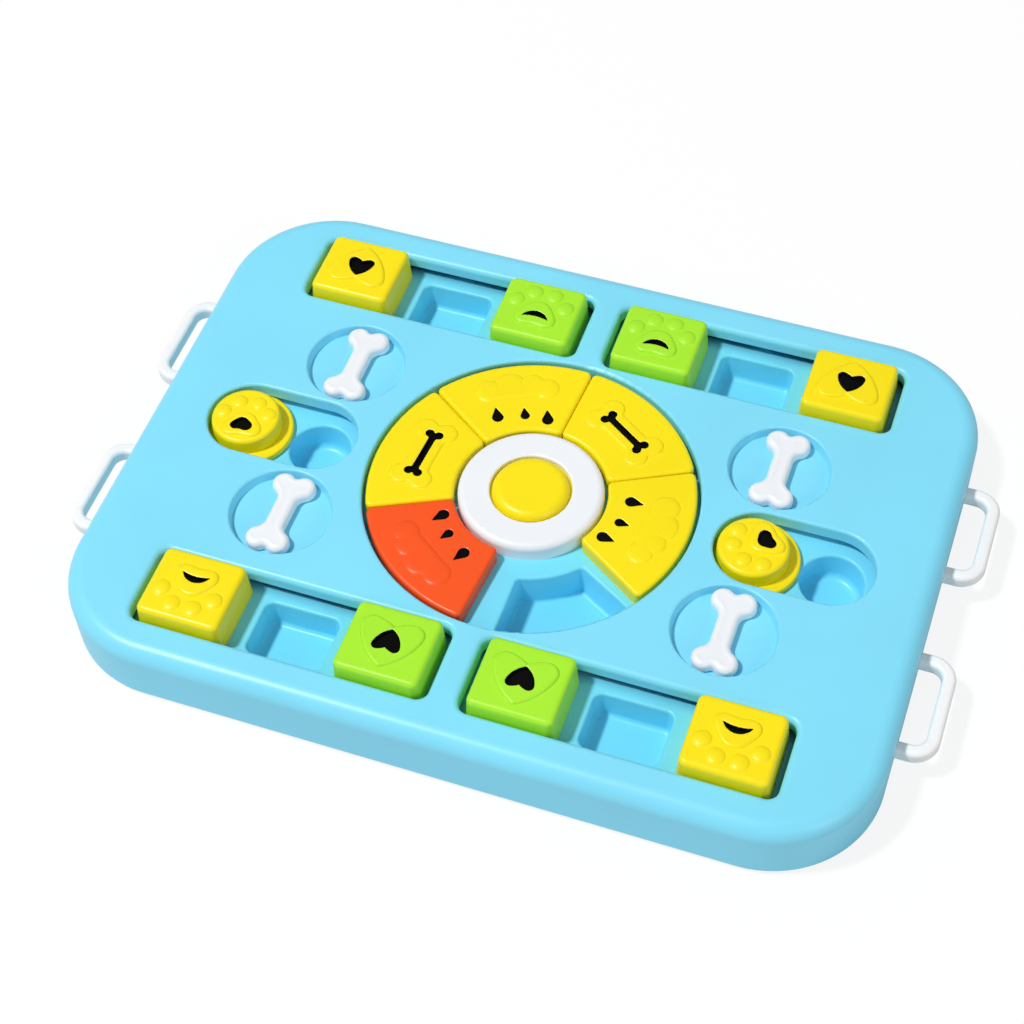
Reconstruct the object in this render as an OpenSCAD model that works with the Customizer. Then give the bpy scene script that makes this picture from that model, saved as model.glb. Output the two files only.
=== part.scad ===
// Dog puzzle feeder toy: a two-part moulded housing with sliding blocks, round
// sliding caps, a wheel of turning tiles, lift-off bones and four loop handles.
// Millimetres. X runs along the long side, Y to the back, Z up; the origin is on
// the standing surface under the middle of the toy.

/* [Body] */
// Border between the end of a straight slot and the short side of the body
end_border = 37.8; // [34:0.1:50]
// Border between a straight slot and the long side of the body
side_border = 17; // [16:0.1:30]
// Corner radius of the body outline
body_r = 48; // [40:0.5:52]
// Height of the top face above the standing surface
top_z = 32; // [31.6:0.1:34]
// Height of the seam between the upper and the lower moulding
seam_z = 23.5; // [22:0.1:24]
// Rounding of the top edge
edge_r = 7.5; // [6:0.1:8]
// Rounding of the bottom edge
base_edge_r = 2.6; // [2.5:0.1:4]
// Wall thickness of both mouldings
wall = 2.4; // [2:0.1:2.5]
// Thickness of the rim walls round the openings
rim_t = 2; // [1.6:0.1:2.2]
// Thickness of the trays
tray_t = 2; // [1.6:0.1:2.2]

/* [Slots and pockets] */
// Length of a straight slot
slot_l = 131; // [130:0.5:134]
// Width of a straight slot
slot_w = 36.3; // [36:0.1:38]
// Corner radius of a straight slot
slot_r = 5; // [4:0.1:6]
// Rounding of the slot rim
slot_rim = 2.5; // [2:0.1:3]
// Half the bar between the left and the right slot
slot_bar = 6.45; // [6.4:0.05:9]
// Web between the wheel recess and a slot
slot_web = 3.7; // [3.6:0.1:6]
// Height of the lower edge of the rim walls
slit_z = 25.6; // [25:0.1:27]
// Height of the slit between a slot floor and the rim walls
slot_slit = 4.3; // [4.2:0.1:5]
// How far the slit reaches behind a rim wall
slit_d = 3.5; // [3.2:0.1:3.8]
// Height of every pocket floor
pocket_z = 7.5; // [6.5:0.1:10]
// Distance of an outer block from the end of its slot
end_gap = 2.75; // [2.5:0.05:3]
// Length of a block pocket
pocket_l = 34.6; // [28:0.1:36]
// Width of a block pocket
pocket_w = 27; // [20:0.1:30]
// Corner radius of a block pocket
pocket_r = 4.5; // [3:0.1:6]

/* [Blocks] */
// Length of a sliding block at its foot
block_l = 38.5; // [37:0.1:38.8]
// Play of a block across its slot, on each side
block_play = 0.5; // [0.4:0.05:0.8]
// Height of the top of the relief, the highest point of the toy
block_top = 38.1; // [36:0.1:42]
// How far a block leans in on each side from foot to top
block_lean = 0.9; // [0.3:0.1:1.4]
// Rounding of the top edge of a block
block_edge = 2.3; // [1.5:0.1:2.6]
// Vertical corner radius of a block
block_r = 4.2; // [3:0.1:4.8]
// Wall thickness of blocks, caps, tiles and bones
cover_t = 1.8; // [1.4:0.1:2]
// Height of the raised reliefs
relief_h = 0.8; // [0.4:0.1:1]
// Width of the retaining flange of a block
flange_w = 2.2; // [1.5:0.1:2.4]
// Length of the retaining flange of a block
flange_l = 30; // [20:0.5:31]

/* [Round slots] */
// Radius of a round-ended slot
pill_r = 18.7; // [18.2:0.1:18.8]
// Distance between the two end centres of a round-ended slot
pill_run = 31.2; // [31:0.1:33]
// Web between the wheel recess and a round-ended slot
pill_web = 8.5; // [8.2:0.1:12]
// Rounding of the rim of a round-ended slot
pill_rim = 1.3; // [1:0.1:1.4]
// Radius of a round pocket
cup_r = 14.1; // [12:0.1:14.4]
// Distance of a round pocket from the middle of its slot
cup_x = 16.9; // [16.6:0.1:17.2]
// Radius of a round cap
cap_r = 15.6; // [15:0.1:16.5]
// Height of the top of a round cap
cap_top = 33; // [32:0.1:35]
// Radius of the retaining flange of a round cap
cap_flange_r = 20.2; // [19.8:0.1:20.6]

/* [Wheel] */
// Radius of the wheel recess
wheel_r = 72.5; // [71.5:0.1:73]
// Height of the slit between the wheel floor and the rim wall
wheel_slit = 1.6; // [1.4:0.1:1.8]
// Running gap outside and inside the tiles
tile_gap = 1.6; // [1.5:0.1:2.5]
// Angle that a tile covers
tile_a = 59.2; // [57:0.1:59.2]
// Angle left between two neighbouring tiles
tile_gap_a = 0.4; // [0.4:0.05:0.6]
// Angle of the first tile
tile_a0 = -3.6; // [-6:0.1:0]
// Border between the hub ring and a wedge pocket
wedge_border_in = 8.8; // [7:0.1:12]
// Border between a wedge pocket and the wall of the wheel recess
wedge_border_out = 6; // [5.7:0.1:10]
// Width of the bars between the wedge pockets
wedge_bar = 14; // [10:0.5:18]
// Outer radius of the hub ring
hub_r = 31.5; // [31:0.1:32]
// Radius of the hole in the hub ring
hub_hole_r = 17.7; // [17.5:0.1:18]
// Height of the top of the hub ring
hub_top = 32.8; // [32.6:0.1:34]
// Gap between the button and the hub ring
button_gap = 0.95; // [0.7:0.05:1.1]
// Height of the top of the button
button_top = 34.6; // [34.4:0.1:36]
// Travel of the button
button_run = 3; // [2:0.1:3]

/* [Dishes and bones] */
// How far a dish stands inward from the middle of the round-ended slot
dish_in = 17.7; // [16:0.1:18.2]
// Web between a round-ended slot and a dish
dish_web = 2.9; // [2.9:0.1:3.5]
// Radius of a dish at its rim
dish_r = 22; // [20:0.1:22]
// How far the wall of a dish leans in
dish_lean = 0.8; // [0.6:0.1:3]
// Height of the dish floor above the slits
dish_lift = 1.9; // [1.9:0.1:2.4]
// Rounding of the dish rim
dish_rim = 1; // [0.6:0.1:1]
// Length of a bone
bone_l = 40; // [34:0.1:41]
// Width of the shaft of a bone
bone_w = 8.4; // [7:0.1:9]
// Radius of a bone's lobes
lobe_r = 5.2; // [4.6:0.1:5.4]
// Height of a bone
bone_h = 5.6; // [4.5:0.1:8]

/* [Handles] */
// Distance of the middle of a handle from the middle of the body along Y
handle_y = 44.5; // [40:0.5:48]
// Width of a handle
handle_w = 49.5; // [44:0.5:52]
// How far a handle stands out from the body
handle_out = 16.2; // [14:0.1:24]
// Width of the handle bar
bar_w = 5.7; // [5:0.1:6]
// Height of the handle bar
bar_h = 7; // [6:0.1:8]
// Height of the middle of a handle
handle_z = 15; // [13:0.1:16]
// Outer corner radius of a handle
handle_r = 11; // [9:0.1:13]

/* [Feet and screws] */
// How far the feet stand out under the body
foot_out = 1; // [0.8:0.1:1.1]
// Radius of a foot
foot_r = 8; // [5:0.1:9]
// Shank radius of a screw
screw_r = 1.7; // [1.5:0.05:1.9]
// Head radius of a screw
screw_head_r = 3.4; // [3:0.05:3.5]
// Shank length of a screw
screw_l = 15; // [12:0.5:15]

/* [Hidden] */
$fn = 64;

// Running gap under a sliding cover, and the gap beside a fitted piece
play = 0.15;
fit = 0.1;
// Overlap of swept rims with the top plate
lap = 0.4;
// Body outline round the four straight slots
body_l = 2 * (slot_bar + slot_l + end_border);
body_w = 2 * (wheel_r + slot_web + slot_w + side_border);
// Middle of a straight slot, and distance between two block places in it
slot_x = slot_bar + slot_l / 2;
slot_y = wheel_r + slot_web + slot_w / 2;
pitch = (slot_l - block_l) / 2 - end_gap;
// Slot floor and wheel floor, a slit below the rim walls
tray_z = slit_z - slot_slit;
wheel_z = slit_z - wheel_slit;
// Middle of a round-ended slot and of a dish
pill_x = wheel_r + pill_web + pill_r + pill_run / 2;
dish_x = pill_x - dish_in;
dish_y = pill_r + dish_web + dish_r;
dish_floor_r = dish_r - dish_lean;
dish_z = slit_z + dish_lift;
// Underside of the top plate, underside of the body and top of its floor
plate_z = top_z - wall;
pan_z = foot_out;
floor_z = pan_z + wall;
// Depth of the seam lip
lip_t = 1.2;
lip_h = 1.6;
lip_root = 4;
// Block and flange measures that follow from the slot
block_w = slot_w - 2 * block_play;
flange_top = slit_z - 0.8;
block_flat = block_top - relief_h;
// Toe domes of a paw: base radius, and the ball that gives their height
toe_r = 3.1;
toe_ball = (toe_r * toe_r + relief_h * relief_h) / (2 * relief_h);
// Where the round caps rest: the flange meets the end of its slit
cap_x = pill_x + pill_run / 2 + pill_r + slit_d - cap_flange_r - play;
cap_x_in = pill_x - pill_run / 2 - pill_r - slit_d + cap_flange_r + play;
// Tile and wedge measures between the hub ring and the wall of the recess
tile_or = wheel_r - tile_gap;
tile_ir = hub_r + tile_gap - fit;
tile_mid = (tile_ir + tile_or) / 2;
tile_pitch = tile_a + tile_gap_a;
wedge_ir = hub_r + wedge_border_in;
wedge_or = wheel_r - wedge_border_out;
tile_flange_r = wheel_r + 1.1;
tile_flange_h = slit_z - wheel_z - 0.4;
tile_edge = 1.7;
tile_corner = 2.5;
wheel_plate_r = tile_flange_r + 0.4;
// Screws: rear and front row, four at the short sides, three under the hub ring
boss_r = 4.5;
boss_y = slot_y + slot_w / 2 + slit_d + boss_r + 0.2;
side_boss = [pill_x + pill_run / 2 + 21, (dish_y + slot_y - slot_w / 2) / 2 - 4];
case_bosses = [[-slot_x, boss_y], [0, boss_y], [slot_x, boss_y],
    [-slot_x, -boss_y], [0, -boss_y], [slot_x, -boss_y],
    [-side_boss[0], side_boss[1]], [side_boss[0], side_boss[1]],
    [-side_boss[0], -side_boss[1]], [side_boss[0], -side_boss[1]]];
button_r = hub_hole_r - button_gap;
button_flange_r = hub_hole_r + 1.2;
hub_boss_r = button_flange_r + 0.6 + boss_r;
hub_bosses = [for (a = [90, 210, 330]) [hub_boss_r * cos(a), hub_boss_r * sin(a)]];
seat_z = 28.3 - screw_l;
head_h = 2.2;
// Places of the feet
feet = [[-body_l / 2 + 30, body_w / 2 - 29], [0, body_w / 2 - 25], [body_l / 2 - 30, body_w / 2 - 29],
    [-body_l / 2 + 30, -body_w / 2 + 29], [0, -body_w / 2 + 25], [body_l / 2 - 30, -body_w / 2 + 29]];
foot_seat = 1;
// Stem of the button and its spring
stem_r = 4;
guide_r = 6;
spring_r = 8.2;
wire_r = 0.5;
coils = 5;
// Colours
sky = [0.55, 0.89, 1.0];
sun = [1.0, 0.9, 0.14];
leaf = [0.66, 0.94, 0.24];
coral = [1.0, 0.35, 0.17];
snow = [0.96, 0.97, 1.0];

// ---------- shared shapes ----------

// Rectangle with true arcs in its corners, centred
module rounded_rect(l, w, r) {
    if (l > 2 * r + 0.01) square([l - 2 * r, w], center = true);
    if (w > 2 * r + 0.01) square([l, w - 2 * r], center = true);
    for (x = [-1, 1])
        for (y = [-1, 1])
            translate([x * (l / 2 - r), y * (w / 2 - r)]) circle(r);
}

// Sweeps a profile round a rounded rectangle. In the profile x is the distance
// outward from the rectangle and y is the height.
module sweep_rect(l, w, r) {
    for (a = [0, 180]) {
        if (w > 2 * r + 0.01)
            rotate(a) translate([l / 2, 0, 0]) rotate([90, 0, 0])
                linear_extrude(w - 2 * r, center = true) children();
        if (l > 2 * r + 0.01)
            rotate(a + 90) translate([w / 2, 0, 0]) rotate([90, 0, 0])
                linear_extrude(l - 2 * r, center = true) children();
    }
    for (x = [-1, 1])
        for (y = [-1, 1])
            translate([x * (l / 2 - r), y * (w / 2 - r), 0])
                rotate(x > 0 ? (y > 0 ? 0 : 270) : (y > 0 ? 90 : 180))
                    rotate_extrude(angle = 90) translate([r, 0]) children();
}

// Section of a rim: a rounded lip in the top plate and a wall down to low_z
module rim_section(f, t, low_z) {
    difference() {
        translate([0, low_z]) square([f + lap, top_z - low_z]);
        if (f + lap > t)
            translate([t, low_z - 1]) square([f + lap, plate_z - low_z + 1]);
        difference() {
            translate([-1, top_z - f]) square([f + 1, f + 1]);
            translate([f, top_z - f]) circle(f);
        }
    }
}

// Section of the top edge of the body, x = 0 on the outer face
module edge_section() {
    difference() {
        translate([-edge_r - lap, seam_z]) square([edge_r + lap, top_z - seam_z]);
        difference() {
            translate([-edge_r, top_z - edge_r]) square([edge_r + 1, edge_r + 1]);
            translate([-edge_r, top_z - edge_r]) circle(edge_r);
        }
        translate([-edge_r - lap - 1, seam_z - 1])
            square([edge_r + lap + 1 - wall, top_z - edge_r - seam_z + 1]);
        translate([-edge_r, top_z - edge_r]) circle(edge_r - wall);
        translate([-edge_r - lap - 1, seam_z - 1]) square([lap + 1, plate_z - seam_z + 1]);
    }
}

// Section of the lower wall with its bottom rounding and the seam lip
module base_section() {
    difference() {
        union() {
            translate([-base_edge_r - lap, pan_z]) square([base_edge_r + lap, seam_z - pan_z]);
            translate([-wall - lip_t - fit, seam_z - lip_root]) square([lip_t + 0.2, lip_root + lip_h]);
        }
        difference() {
            translate([-base_edge_r, pan_z - 1]) square([base_edge_r + 1, base_edge_r + 1]);
            translate([-base_edge_r, pan_z + base_edge_r]) circle(base_edge_r);
        }
        translate([-base_edge_r - lap - 1, floor_z])
            square([base_edge_r + lap + 1 - wall, seam_z - lip_root - floor_z]);
        translate([-wall - lip_t - fit - 3, seam_z - lip_root - 1]) square([3, lip_root + 2]);
        translate([-wall - fit, seam_z]) square([wall, lip_h + 1]);
    }
}

// Heart with its point on +y: straight lines from the point touch two round
// lobes of radius r, which meet in a notch on the middle line
module heart(w, tip, lobe, r) {
    cx = w - r;
    a1 = atan2(tip - lobe, -cx) - acos(r / norm([cx, tip - lobe]));
    a2 = acos(cx / r) - 180;
    half = [for (i = [0:14]) let (a = a1 + (a2 - a1) * i / 14) [cx + r * cos(a), lobe + r * sin(a)]];
    polygon(concat([[0, tip]], half, [for (i = [13:-1:0]) [-half[i][0], half[i][1]]]));
}

// Pad of a paw: a round middle and two lower lobes
module pad(s) {
    translate([0, 1.2 * s]) circle(4.1 * s);
    for (x = [-1, 1])
        translate([x * 3.4 * s, -1.6 * s]) circle(2.7 * s);
    translate([-3.4 * s, -3.6 * s]) square([6.8 * s, 4 * s]);
}

// Paw relief on a flat at height z: pad and four toe domes
module paw_relief(z, toes, pad_y, s) {
    translate([0, pad_y, z - 1]) linear_extrude(relief_h + 1) pad(s);
    for (p = toes)
        translate([p[0], p[1], z - 1]) intersection() {
            translate([0, 0, relief_h + 1 - toe_ball]) sphere(toe_ball);
            cylinder(h = relief_h + 2, r = toe_r);
        }
}

// Bone outline along x
module bone_2d(l, w, lr) {
    for (x = [-1, 1])
        for (y = [-1, 1])
            translate([x * (l / 2 - lr), y * (lr - 0.7)]) circle(lr);
    square([l - 2 * lr, w], center = true);
}

// Cloud outline with its straight side below and five scallops above
module cloud_2d() {
    intersection() {
        union() {
            translate([-13.6, 4.6]) circle(4.6);
            translate([-9, 8]) circle(5.6);
            translate([-1.5, 9.6]) circle(6.4);
            translate([6.6, 8.6]) circle(5.2);
            translate([13, 5]) circle(5);
            translate([-13.6, 0]) square([26.6, 8]);
        }
        translate([-20, 0]) square([40, 18]);
    }
}

// Drop outline with its point on +y
module drop_2d(s) {
    polygon([[0, 3.6 * s], [1.75 * s, -0.2 * s], [0, -1 * s], [-1.75 * s, -0.2 * s]]);
    translate([0, -0.9 * s]) circle(1.9 * s);
}

// ---------- housing ----------

// Openings in the top plate, enlarged by each rim's rounding
module plate_holes() {
    for (x = [-1, 1])
        for (y = [-1, 1]) {
            translate([x * slot_x, y * slot_y])
                rounded_rect(slot_l + 2 * slot_rim + lap, slot_w + 2 * slot_rim + lap, slot_r + slot_rim + lap / 2);
            translate([x * dish_x, y * dish_y]) circle(dish_r + dish_rim + lap / 2);
        }
    for (x = [-1, 1])
        translate([x * pill_x, 0])
            rounded_rect(pill_run + 2 * (pill_r + pill_rim) + lap, 2 * (pill_r + pill_rim) + lap,
                pill_r + pill_rim + lap / 2);
    circle(wheel_r + 1.2 + lap / 2);
}

// Dish with a rounded rim, in one revolve
module dish_cup() {
    rotate_extrude()
        difference() {
            union() {
                translate([0, dish_z - rim_t]) square([dish_floor_r + 1, rim_t]);
                polygon([[dish_floor_r - 0.6, dish_z - rim_t], [dish_r + rim_t, dish_z - rim_t],
                    [dish_r + rim_t, plate_z], [dish_r + dish_rim + lap, plate_z],
                    [dish_r + dish_rim + lap, top_z], [dish_r, top_z],
                    [dish_r, top_z - dish_rim], [dish_floor_r, dish_z], [dish_floor_r - 0.6, dish_z]]);
            }
            difference() {
                translate([dish_r - 1, top_z - dish_rim]) square([dish_rim + 1, dish_rim + 1]);
                translate([dish_r + dish_rim, top_z - dish_rim]) circle(dish_rim);
            }
        }
}

module top_shell() {
    color(sky)
    difference() {
        union() {
            translate([0, 0, plate_z]) linear_extrude(wall) difference() {
                rounded_rect(body_l - 2 * edge_r - lap, body_w - 2 * edge_r - lap, body_r - edge_r - lap / 2);
                plate_holes();
            }
            sweep_rect(body_l, body_w, body_r) edge_section();
            for (x = [-1, 1])
                for (y = [-1, 1]) {
                    translate([x * slot_x, y * slot_y, 0])
                        sweep_rect(slot_l, slot_w, slot_r) rim_section(slot_rim, rim_t, slit_z);
                    translate([x * dish_x, y * dish_y, 0]) dish_cup();
                    // posts that hold the slot trays down
                    translate([x * (slot_x + slot_l / 2 + 1.9), y * (slot_y - slot_w / 2 - 1.9), tray_z])
                        cylinder(h = plate_z - tray_z + 0.5, r = 1.6);
                    for (s = [-1, 1])
                        translate([x * (slot_x + s * (slot_l / 2 + 1.9)), y * (slot_y + slot_w / 2 + 1.9), tray_z])
                            cylinder(h = plate_z - tray_z + 0.5, r = 1.6);
                }
            for (x = [-1, 1]) {
                translate([x * pill_x, 0, 0])
                    sweep_rect(pill_run + 2 * pill_r, 2 * pill_r, pill_r) rim_section(pill_rim, rim_t, slit_z);
                // posts that hold the round trays down
                for (s = [-1, 1])
                    translate([x * (pill_x + s * (pill_run / 2 + pill_r + slit_d + 0.75)), 0, slit_z - 0.4])
                        cylinder(h = plate_z - slit_z + 0.9, r = 1.4);
            }
            rotate_extrude() translate([wheel_r, 0]) rim_section(1.2, rim_t, slit_z);
            for (p = case_bosses)
                translate([p[0], p[1], seam_z + 0.4]) cylinder(h = plate_z - seam_z, r = boss_r);
        }
        for (p = case_bosses)
            translate([p[0], p[1], seam_z - 1]) cylinder(h = plate_z - seam_z + 0.6, r = screw_r + 0.05);
    }
}

// Side wall of the lower moulding with the sockets of the handles
module bottom_shell() {
    color(sky)
    difference() {
        sweep_rect(body_l, body_w, body_r) base_section();
        for (x = [-1, 1])
            for (y = [-1, 1])
                for (s = [-1, 1])
                    translate([x * (body_l / 2 - wall / 2), y * handle_y + s * (handle_w - bar_w) / 2, handle_z])
                        rotate([90, 0, 90]) linear_extrude(wall + 4, center = true)
                            rounded_rect(bar_w + 2 * fit, bar_h + 2 * fit, 2 + fit);
    }
}

// Floor of the lower moulding with the seats of the feet and the screw holes
module bottom_floor() {
    color(sky)
    difference() {
        translate([0, 0, pan_z]) linear_extrude(wall)
            rounded_rect(body_l - 2 * base_edge_r - 2 * lap, body_w - 2 * base_edge_r - 2 * lap,
                body_r - base_edge_r - lap);
        for (p = concat(case_bosses, hub_bosses))
            translate([p[0], p[1], pan_z - 1]) cylinder(h = wall + 2, r = screw_head_r + 0.2);
        for (p = feet)
            translate([p[0], p[1], pan_z - 1]) cylinder(h = foot_seat + 1, r = foot_r + fit);
    }
}

// Screw posts with deep head seats, and the ribs that carry the trays
module bottom_posts() {
    rib_h = pocket_z - tray_t - floor_z;
    color(sky) difference() {
        union() {
            for (p = case_bosses)
                translate([p[0], p[1], floor_z]) cylinder(h = seam_z + 0.4 - floor_z, r = boss_r);
            for (p = hub_bosses)
                translate([p[0], p[1], floor_z]) cylinder(h = wheel_z - tray_t - floor_z, r = boss_r);
            for (y = [-1, 1]) {
                for (d = [-8, 8])
                    translate([-slot_x - slot_l / 2, y * slot_y + d - 0.9, floor_z])
                        cube([2 * slot_x + slot_l, 1.8, rib_h]);
                translate([-slot_x, y * (wedge_ir + 5.7) - 0.9, floor_z]) cube([2 * slot_x, 1.8, rib_h]);
                translate([-pill_x - pill_run, y * 8 - 0.9, floor_z]) cube([2 * (pill_x + pill_run), 1.8, rib_h]);
            }
        }
        for (p = concat(case_bosses, hub_bosses))
            translate([p[0], p[1], floor_z - 1]) {
                cylinder(h = 40, r = screw_r + 0.3);
                cylinder(h = seat_z - floor_z + 1, r = screw_head_r + 0.2);
            }
    }
}

// ---------- trays ----------

// Straight tray: a plate and three open boxes hanging under it
module slot_tray(x, y) {
    color(sky) translate([x * slot_x, y * slot_y, 0])
    difference() {
        union() {
            translate([0, 0, tray_z - tray_t]) linear_extrude(tray_t)
                rounded_rect(slot_l + 2 * slit_d, slot_w + 2 * slit_d, slot_r + slit_d);
            for (i = [-1:1])
                translate([i * pitch, 0, pocket_z - tray_t]) linear_extrude(tray_z - pocket_z + tray_t / 2)
                    rounded_rect(pocket_l + 2 * tray_t, pocket_w + 2 * tray_t, pocket_r + tray_t);
        }
        for (i = [-1:1])
            translate([i * pitch, 0, pocket_z]) linear_extrude(tray_z - pocket_z + 1)
                rounded_rect(pocket_l, pocket_w, pocket_r);
    }
}

// Round-ended tray: a plate with a raised edge and two round cups
module round_tray(x) {
    color(sky) translate([x * pill_x, 0, 0])
    difference() {
        union() {
            translate([0, 0, tray_z - tray_t]) linear_extrude(slit_z - 0.4 - tray_z + tray_t)
                rounded_rect(pill_run + 2 * (pill_r + slit_d + 1.5), 2 * (pill_r + slit_d + 1.5),
                    pill_r + slit_d + 1.5);
            for (s = [-1, 1])
                translate([s * cup_x, 0, pocket_z - tray_t])
                    cylinder(h = tray_z - pocket_z + tray_t / 2, r = cup_r + tray_t);
        }
        translate([0, 0, tray_z]) linear_extrude(10)
            rounded_rect(pill_run + 2 * (pill_r + slit_d), 2 * (pill_r + slit_d), pill_r + slit_d);
        for (s = [-1, 1])
            translate([s * cup_x, 0, pocket_z]) cylinder(h = 20, r = cup_r);
    }
}

// Wedge outline between two arcs, with parallel bars left between neighbours
module wedge_2d(ri, ro, bar) {
    intersection() {
        difference() {
            circle(ro);
            circle(ri);
        }
        rotate(-30) translate([bar / 2 / tan(30), bar / 2]) square([100, 100]);
        rotate(30) translate([bar / 2 / tan(30), -100 - bar / 2]) square([100, 100]);
    }
}

module wheel_tray() {
    color(sky)
    difference() {
        union() {
            translate([0, 0, wheel_z - tray_t]) cylinder(h = tray_t, r = wheel_plate_r);
            for (a = [0:60:300])
                rotate(a) translate([0, 0, pocket_z - tray_t]) linear_extrude(wheel_z - pocket_z + tray_t / 2)
                    wedge_2d(wedge_ir - tray_t, wedge_or + tray_t, wedge_bar - 2 * tray_t);
            // ring that centres the hub ring
            translate([0, 0, wheel_z - 0.5]) difference() {
                cylinder(h = 2.5, r = hub_r - rim_t - 0.3);
                translate([0, 0, -1]) cylinder(h = 5, r = hub_r - rim_t - 1.7);
            }
            // guide of the button stem
            translate([0, 0, wheel_z - 8]) cylinder(h = 9.5, r = guide_r);
        }
        for (a = [0:60:300])
            rotate(a) translate([0, 0, pocket_z]) linear_extrude(30) wedge_2d(wedge_ir, wedge_or, wedge_bar);
        translate([0, 0, wheel_z - 10]) cylinder(h = 20, r = stem_r + fit);
        for (p = hub_bosses)
            translate([p[0], p[1], wheel_z - 10]) cylinder(h = 20, r = screw_r + 0.3);
        for (p = hub_bosses)
            translate([p[0], p[1], wheel_z]) cylinder(h = 5, r = boss_r + fit);
    }
}

// ---------- hub ----------

module hub_ring() {
    color(snow)
    difference() {
        union() {
            rotate_extrude() difference() {
                union() {
                    translate([hub_r - rim_t, wheel_z]) square([rim_t, hub_top - 3 - wheel_z]);
                    translate([hub_hole_r, hub_top - 2.2]) square([hub_r - hub_hole_r - 3, 2.2]);
                    translate([hub_r - 3 - lap, hub_top - 3]) difference() {
                        square([3 + lap, 3]);
                        translate([-1, -1]) square([1 + lap + 1, 1.8]);
                    }
                }
                difference() {
                    translate([hub_r - 3, hub_top - 3]) square([4, 4]);
                    translate([hub_r - 3, hub_top - 3]) circle(3);
                }
                difference() {
                    translate([hub_hole_r - 1, hub_top - 1]) square([2, 2]);
                    translate([hub_hole_r + 1, hub_top - 1]) circle(1);
                }
            }
            for (p = hub_bosses)
                translate([p[0], p[1], wheel_z]) cylinder(h = hub_top - 2 - wheel_z, r = boss_r);
        }
        for (p = hub_bosses)
            translate([p[0], p[1], wheel_z - 1]) cylinder(h = 29.2 - wheel_z + 1, r = screw_r + 0.05);
    }
}

module hub_button() {
    color(sun)
    union() {
        rotate_extrude() difference() {
            union() {
                translate([0, wheel_z + button_run + 0.5])
                    square([button_r, button_top - 3 - wheel_z - button_run - 0.5]);
                translate([0, button_top - 4]) square([button_r - 4, 4]);
                translate([button_r - 4, button_top - 4]) intersection() {
                    circle(4);
                    square([4, 4]);
                }
                translate([0, wheel_z + button_run + 0.5])
                    square([button_flange_r, hub_top - 2.2 - 0.3 - wheel_z - button_run - 0.5]);
            }
            translate([-1, wheel_z + button_run - 1])
                square([button_r - cover_t + 1, button_top - 2 * cover_t - wheel_z - button_run + 1]);
        }
        translate([0, 0, wheel_z - 7]) cylinder(h = button_top - 3 - wheel_z + 7, r = stem_r);
    }
}

// Coil spring: one closed tube of round wire round the stem guide
module button_spring() {
    n = coils * 16;
    m = 8;
    z0 = wheel_z + wire_r + 0.05;
    z1 = button_top - 2 * cover_t - wire_r - 0.05;
    pts = [for (i = [0:n]) let (t = i / n, a = 360 * coils * t) for (j = [0:m - 1]) let (b = 360 * j / m)
        [(spring_r + wire_r * cos(b)) * cos(a), (spring_r + wire_r * cos(b)) * sin(a),
            z0 + (z1 - z0) * t + wire_r * sin(b)]];
    sides = [for (i = [0:n - 1]) for (j = [0:m - 1])
        [i * m + j, i * m + (j + 1) % m, (i + 1) * m + (j + 1) % m, (i + 1) * m + j]];
    ends = [[for (j = [m - 1:-1:0]) j], [for (j = [0:m - 1]) n * m + j]];
    color([0.75, 0.77, 0.8]) polyhedron(pts, concat(sides, ends), convexity = 10);
}

// ---------- sliding blocks ----------

// Tapered box with rounded corners and a rounded top edge
module block_form(l, w, top, grow) {
    hull() {
        for (x = [-1, 1])
            for (y = [-1, 1]) {
                translate([x * (l / 2 - block_r), y * (w / 2 - block_r), 0])
                    cylinder(h = 0.5, r = block_r + grow, $fn = 24);
                translate([x * (l / 2 - block_lean - block_r), y * (w / 2 - block_lean - block_r), top - block_edge])
                    rotate_extrude($fn = 24)
                        intersection() {
                            translate([block_r - block_edge, 0]) circle(block_edge + grow, $fn = 24);
                            square(20);
                        }
            }
    }
}

module block_shell(top) {
    difference() {
        union() {
            block_form(block_l, block_w, top, 0);
            translate([-flange_l / 2, -slot_w / 2 + block_play - flange_w, 0])
                cube([flange_l, block_w + 2 * flange_w, flange_top - tray_z - play]);
        }
        translate([0, 0, -1]) linear_extrude(top - cover_t + 1)
            rounded_rect(block_l - 2 * (cover_t + block_lean), block_w - 2 * (cover_t + block_lean), block_r - cover_t);
    }
}

module heart_block(col) {
    z0 = tray_z + play;
    color(col) difference() {
        union() {
            block_shell(block_flat - z0);
            translate([0, 0, block_flat - z0 - 1]) linear_extrude(relief_h + 1) heart(12.5, 12, -4.6, 7);
        }
        translate([0, -0.4, block_flat - z0 - 5]) linear_extrude(10) rotate(180) heart(5.7, 6.1, -0.9, 3.3);
    }
}

module paw_block(col) {
    z0 = tray_z + play;
    color(col) difference() {
        union() {
            block_shell(block_flat - z0);
            paw_relief(block_flat - z0, [[-11.3, 3.2], [-4.7, 9.8], [4.7, 9.8], [12, 4.1]], -5, 1.45);
        }
        translate([0, -4.6, block_flat - z0 - 5]) linear_extrude(10) pad(0.8);
    }
}

// Puts a block at place i (-1, 0 or 1) of a slot; front blocks face the front
module at_slot(x, y, i) {
    translate([x * slot_x + i * pitch, y * slot_y, tray_z + play]) rotate(y > 0 ? 0 : 180) children();
}

// ---------- round caps ----------

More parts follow.
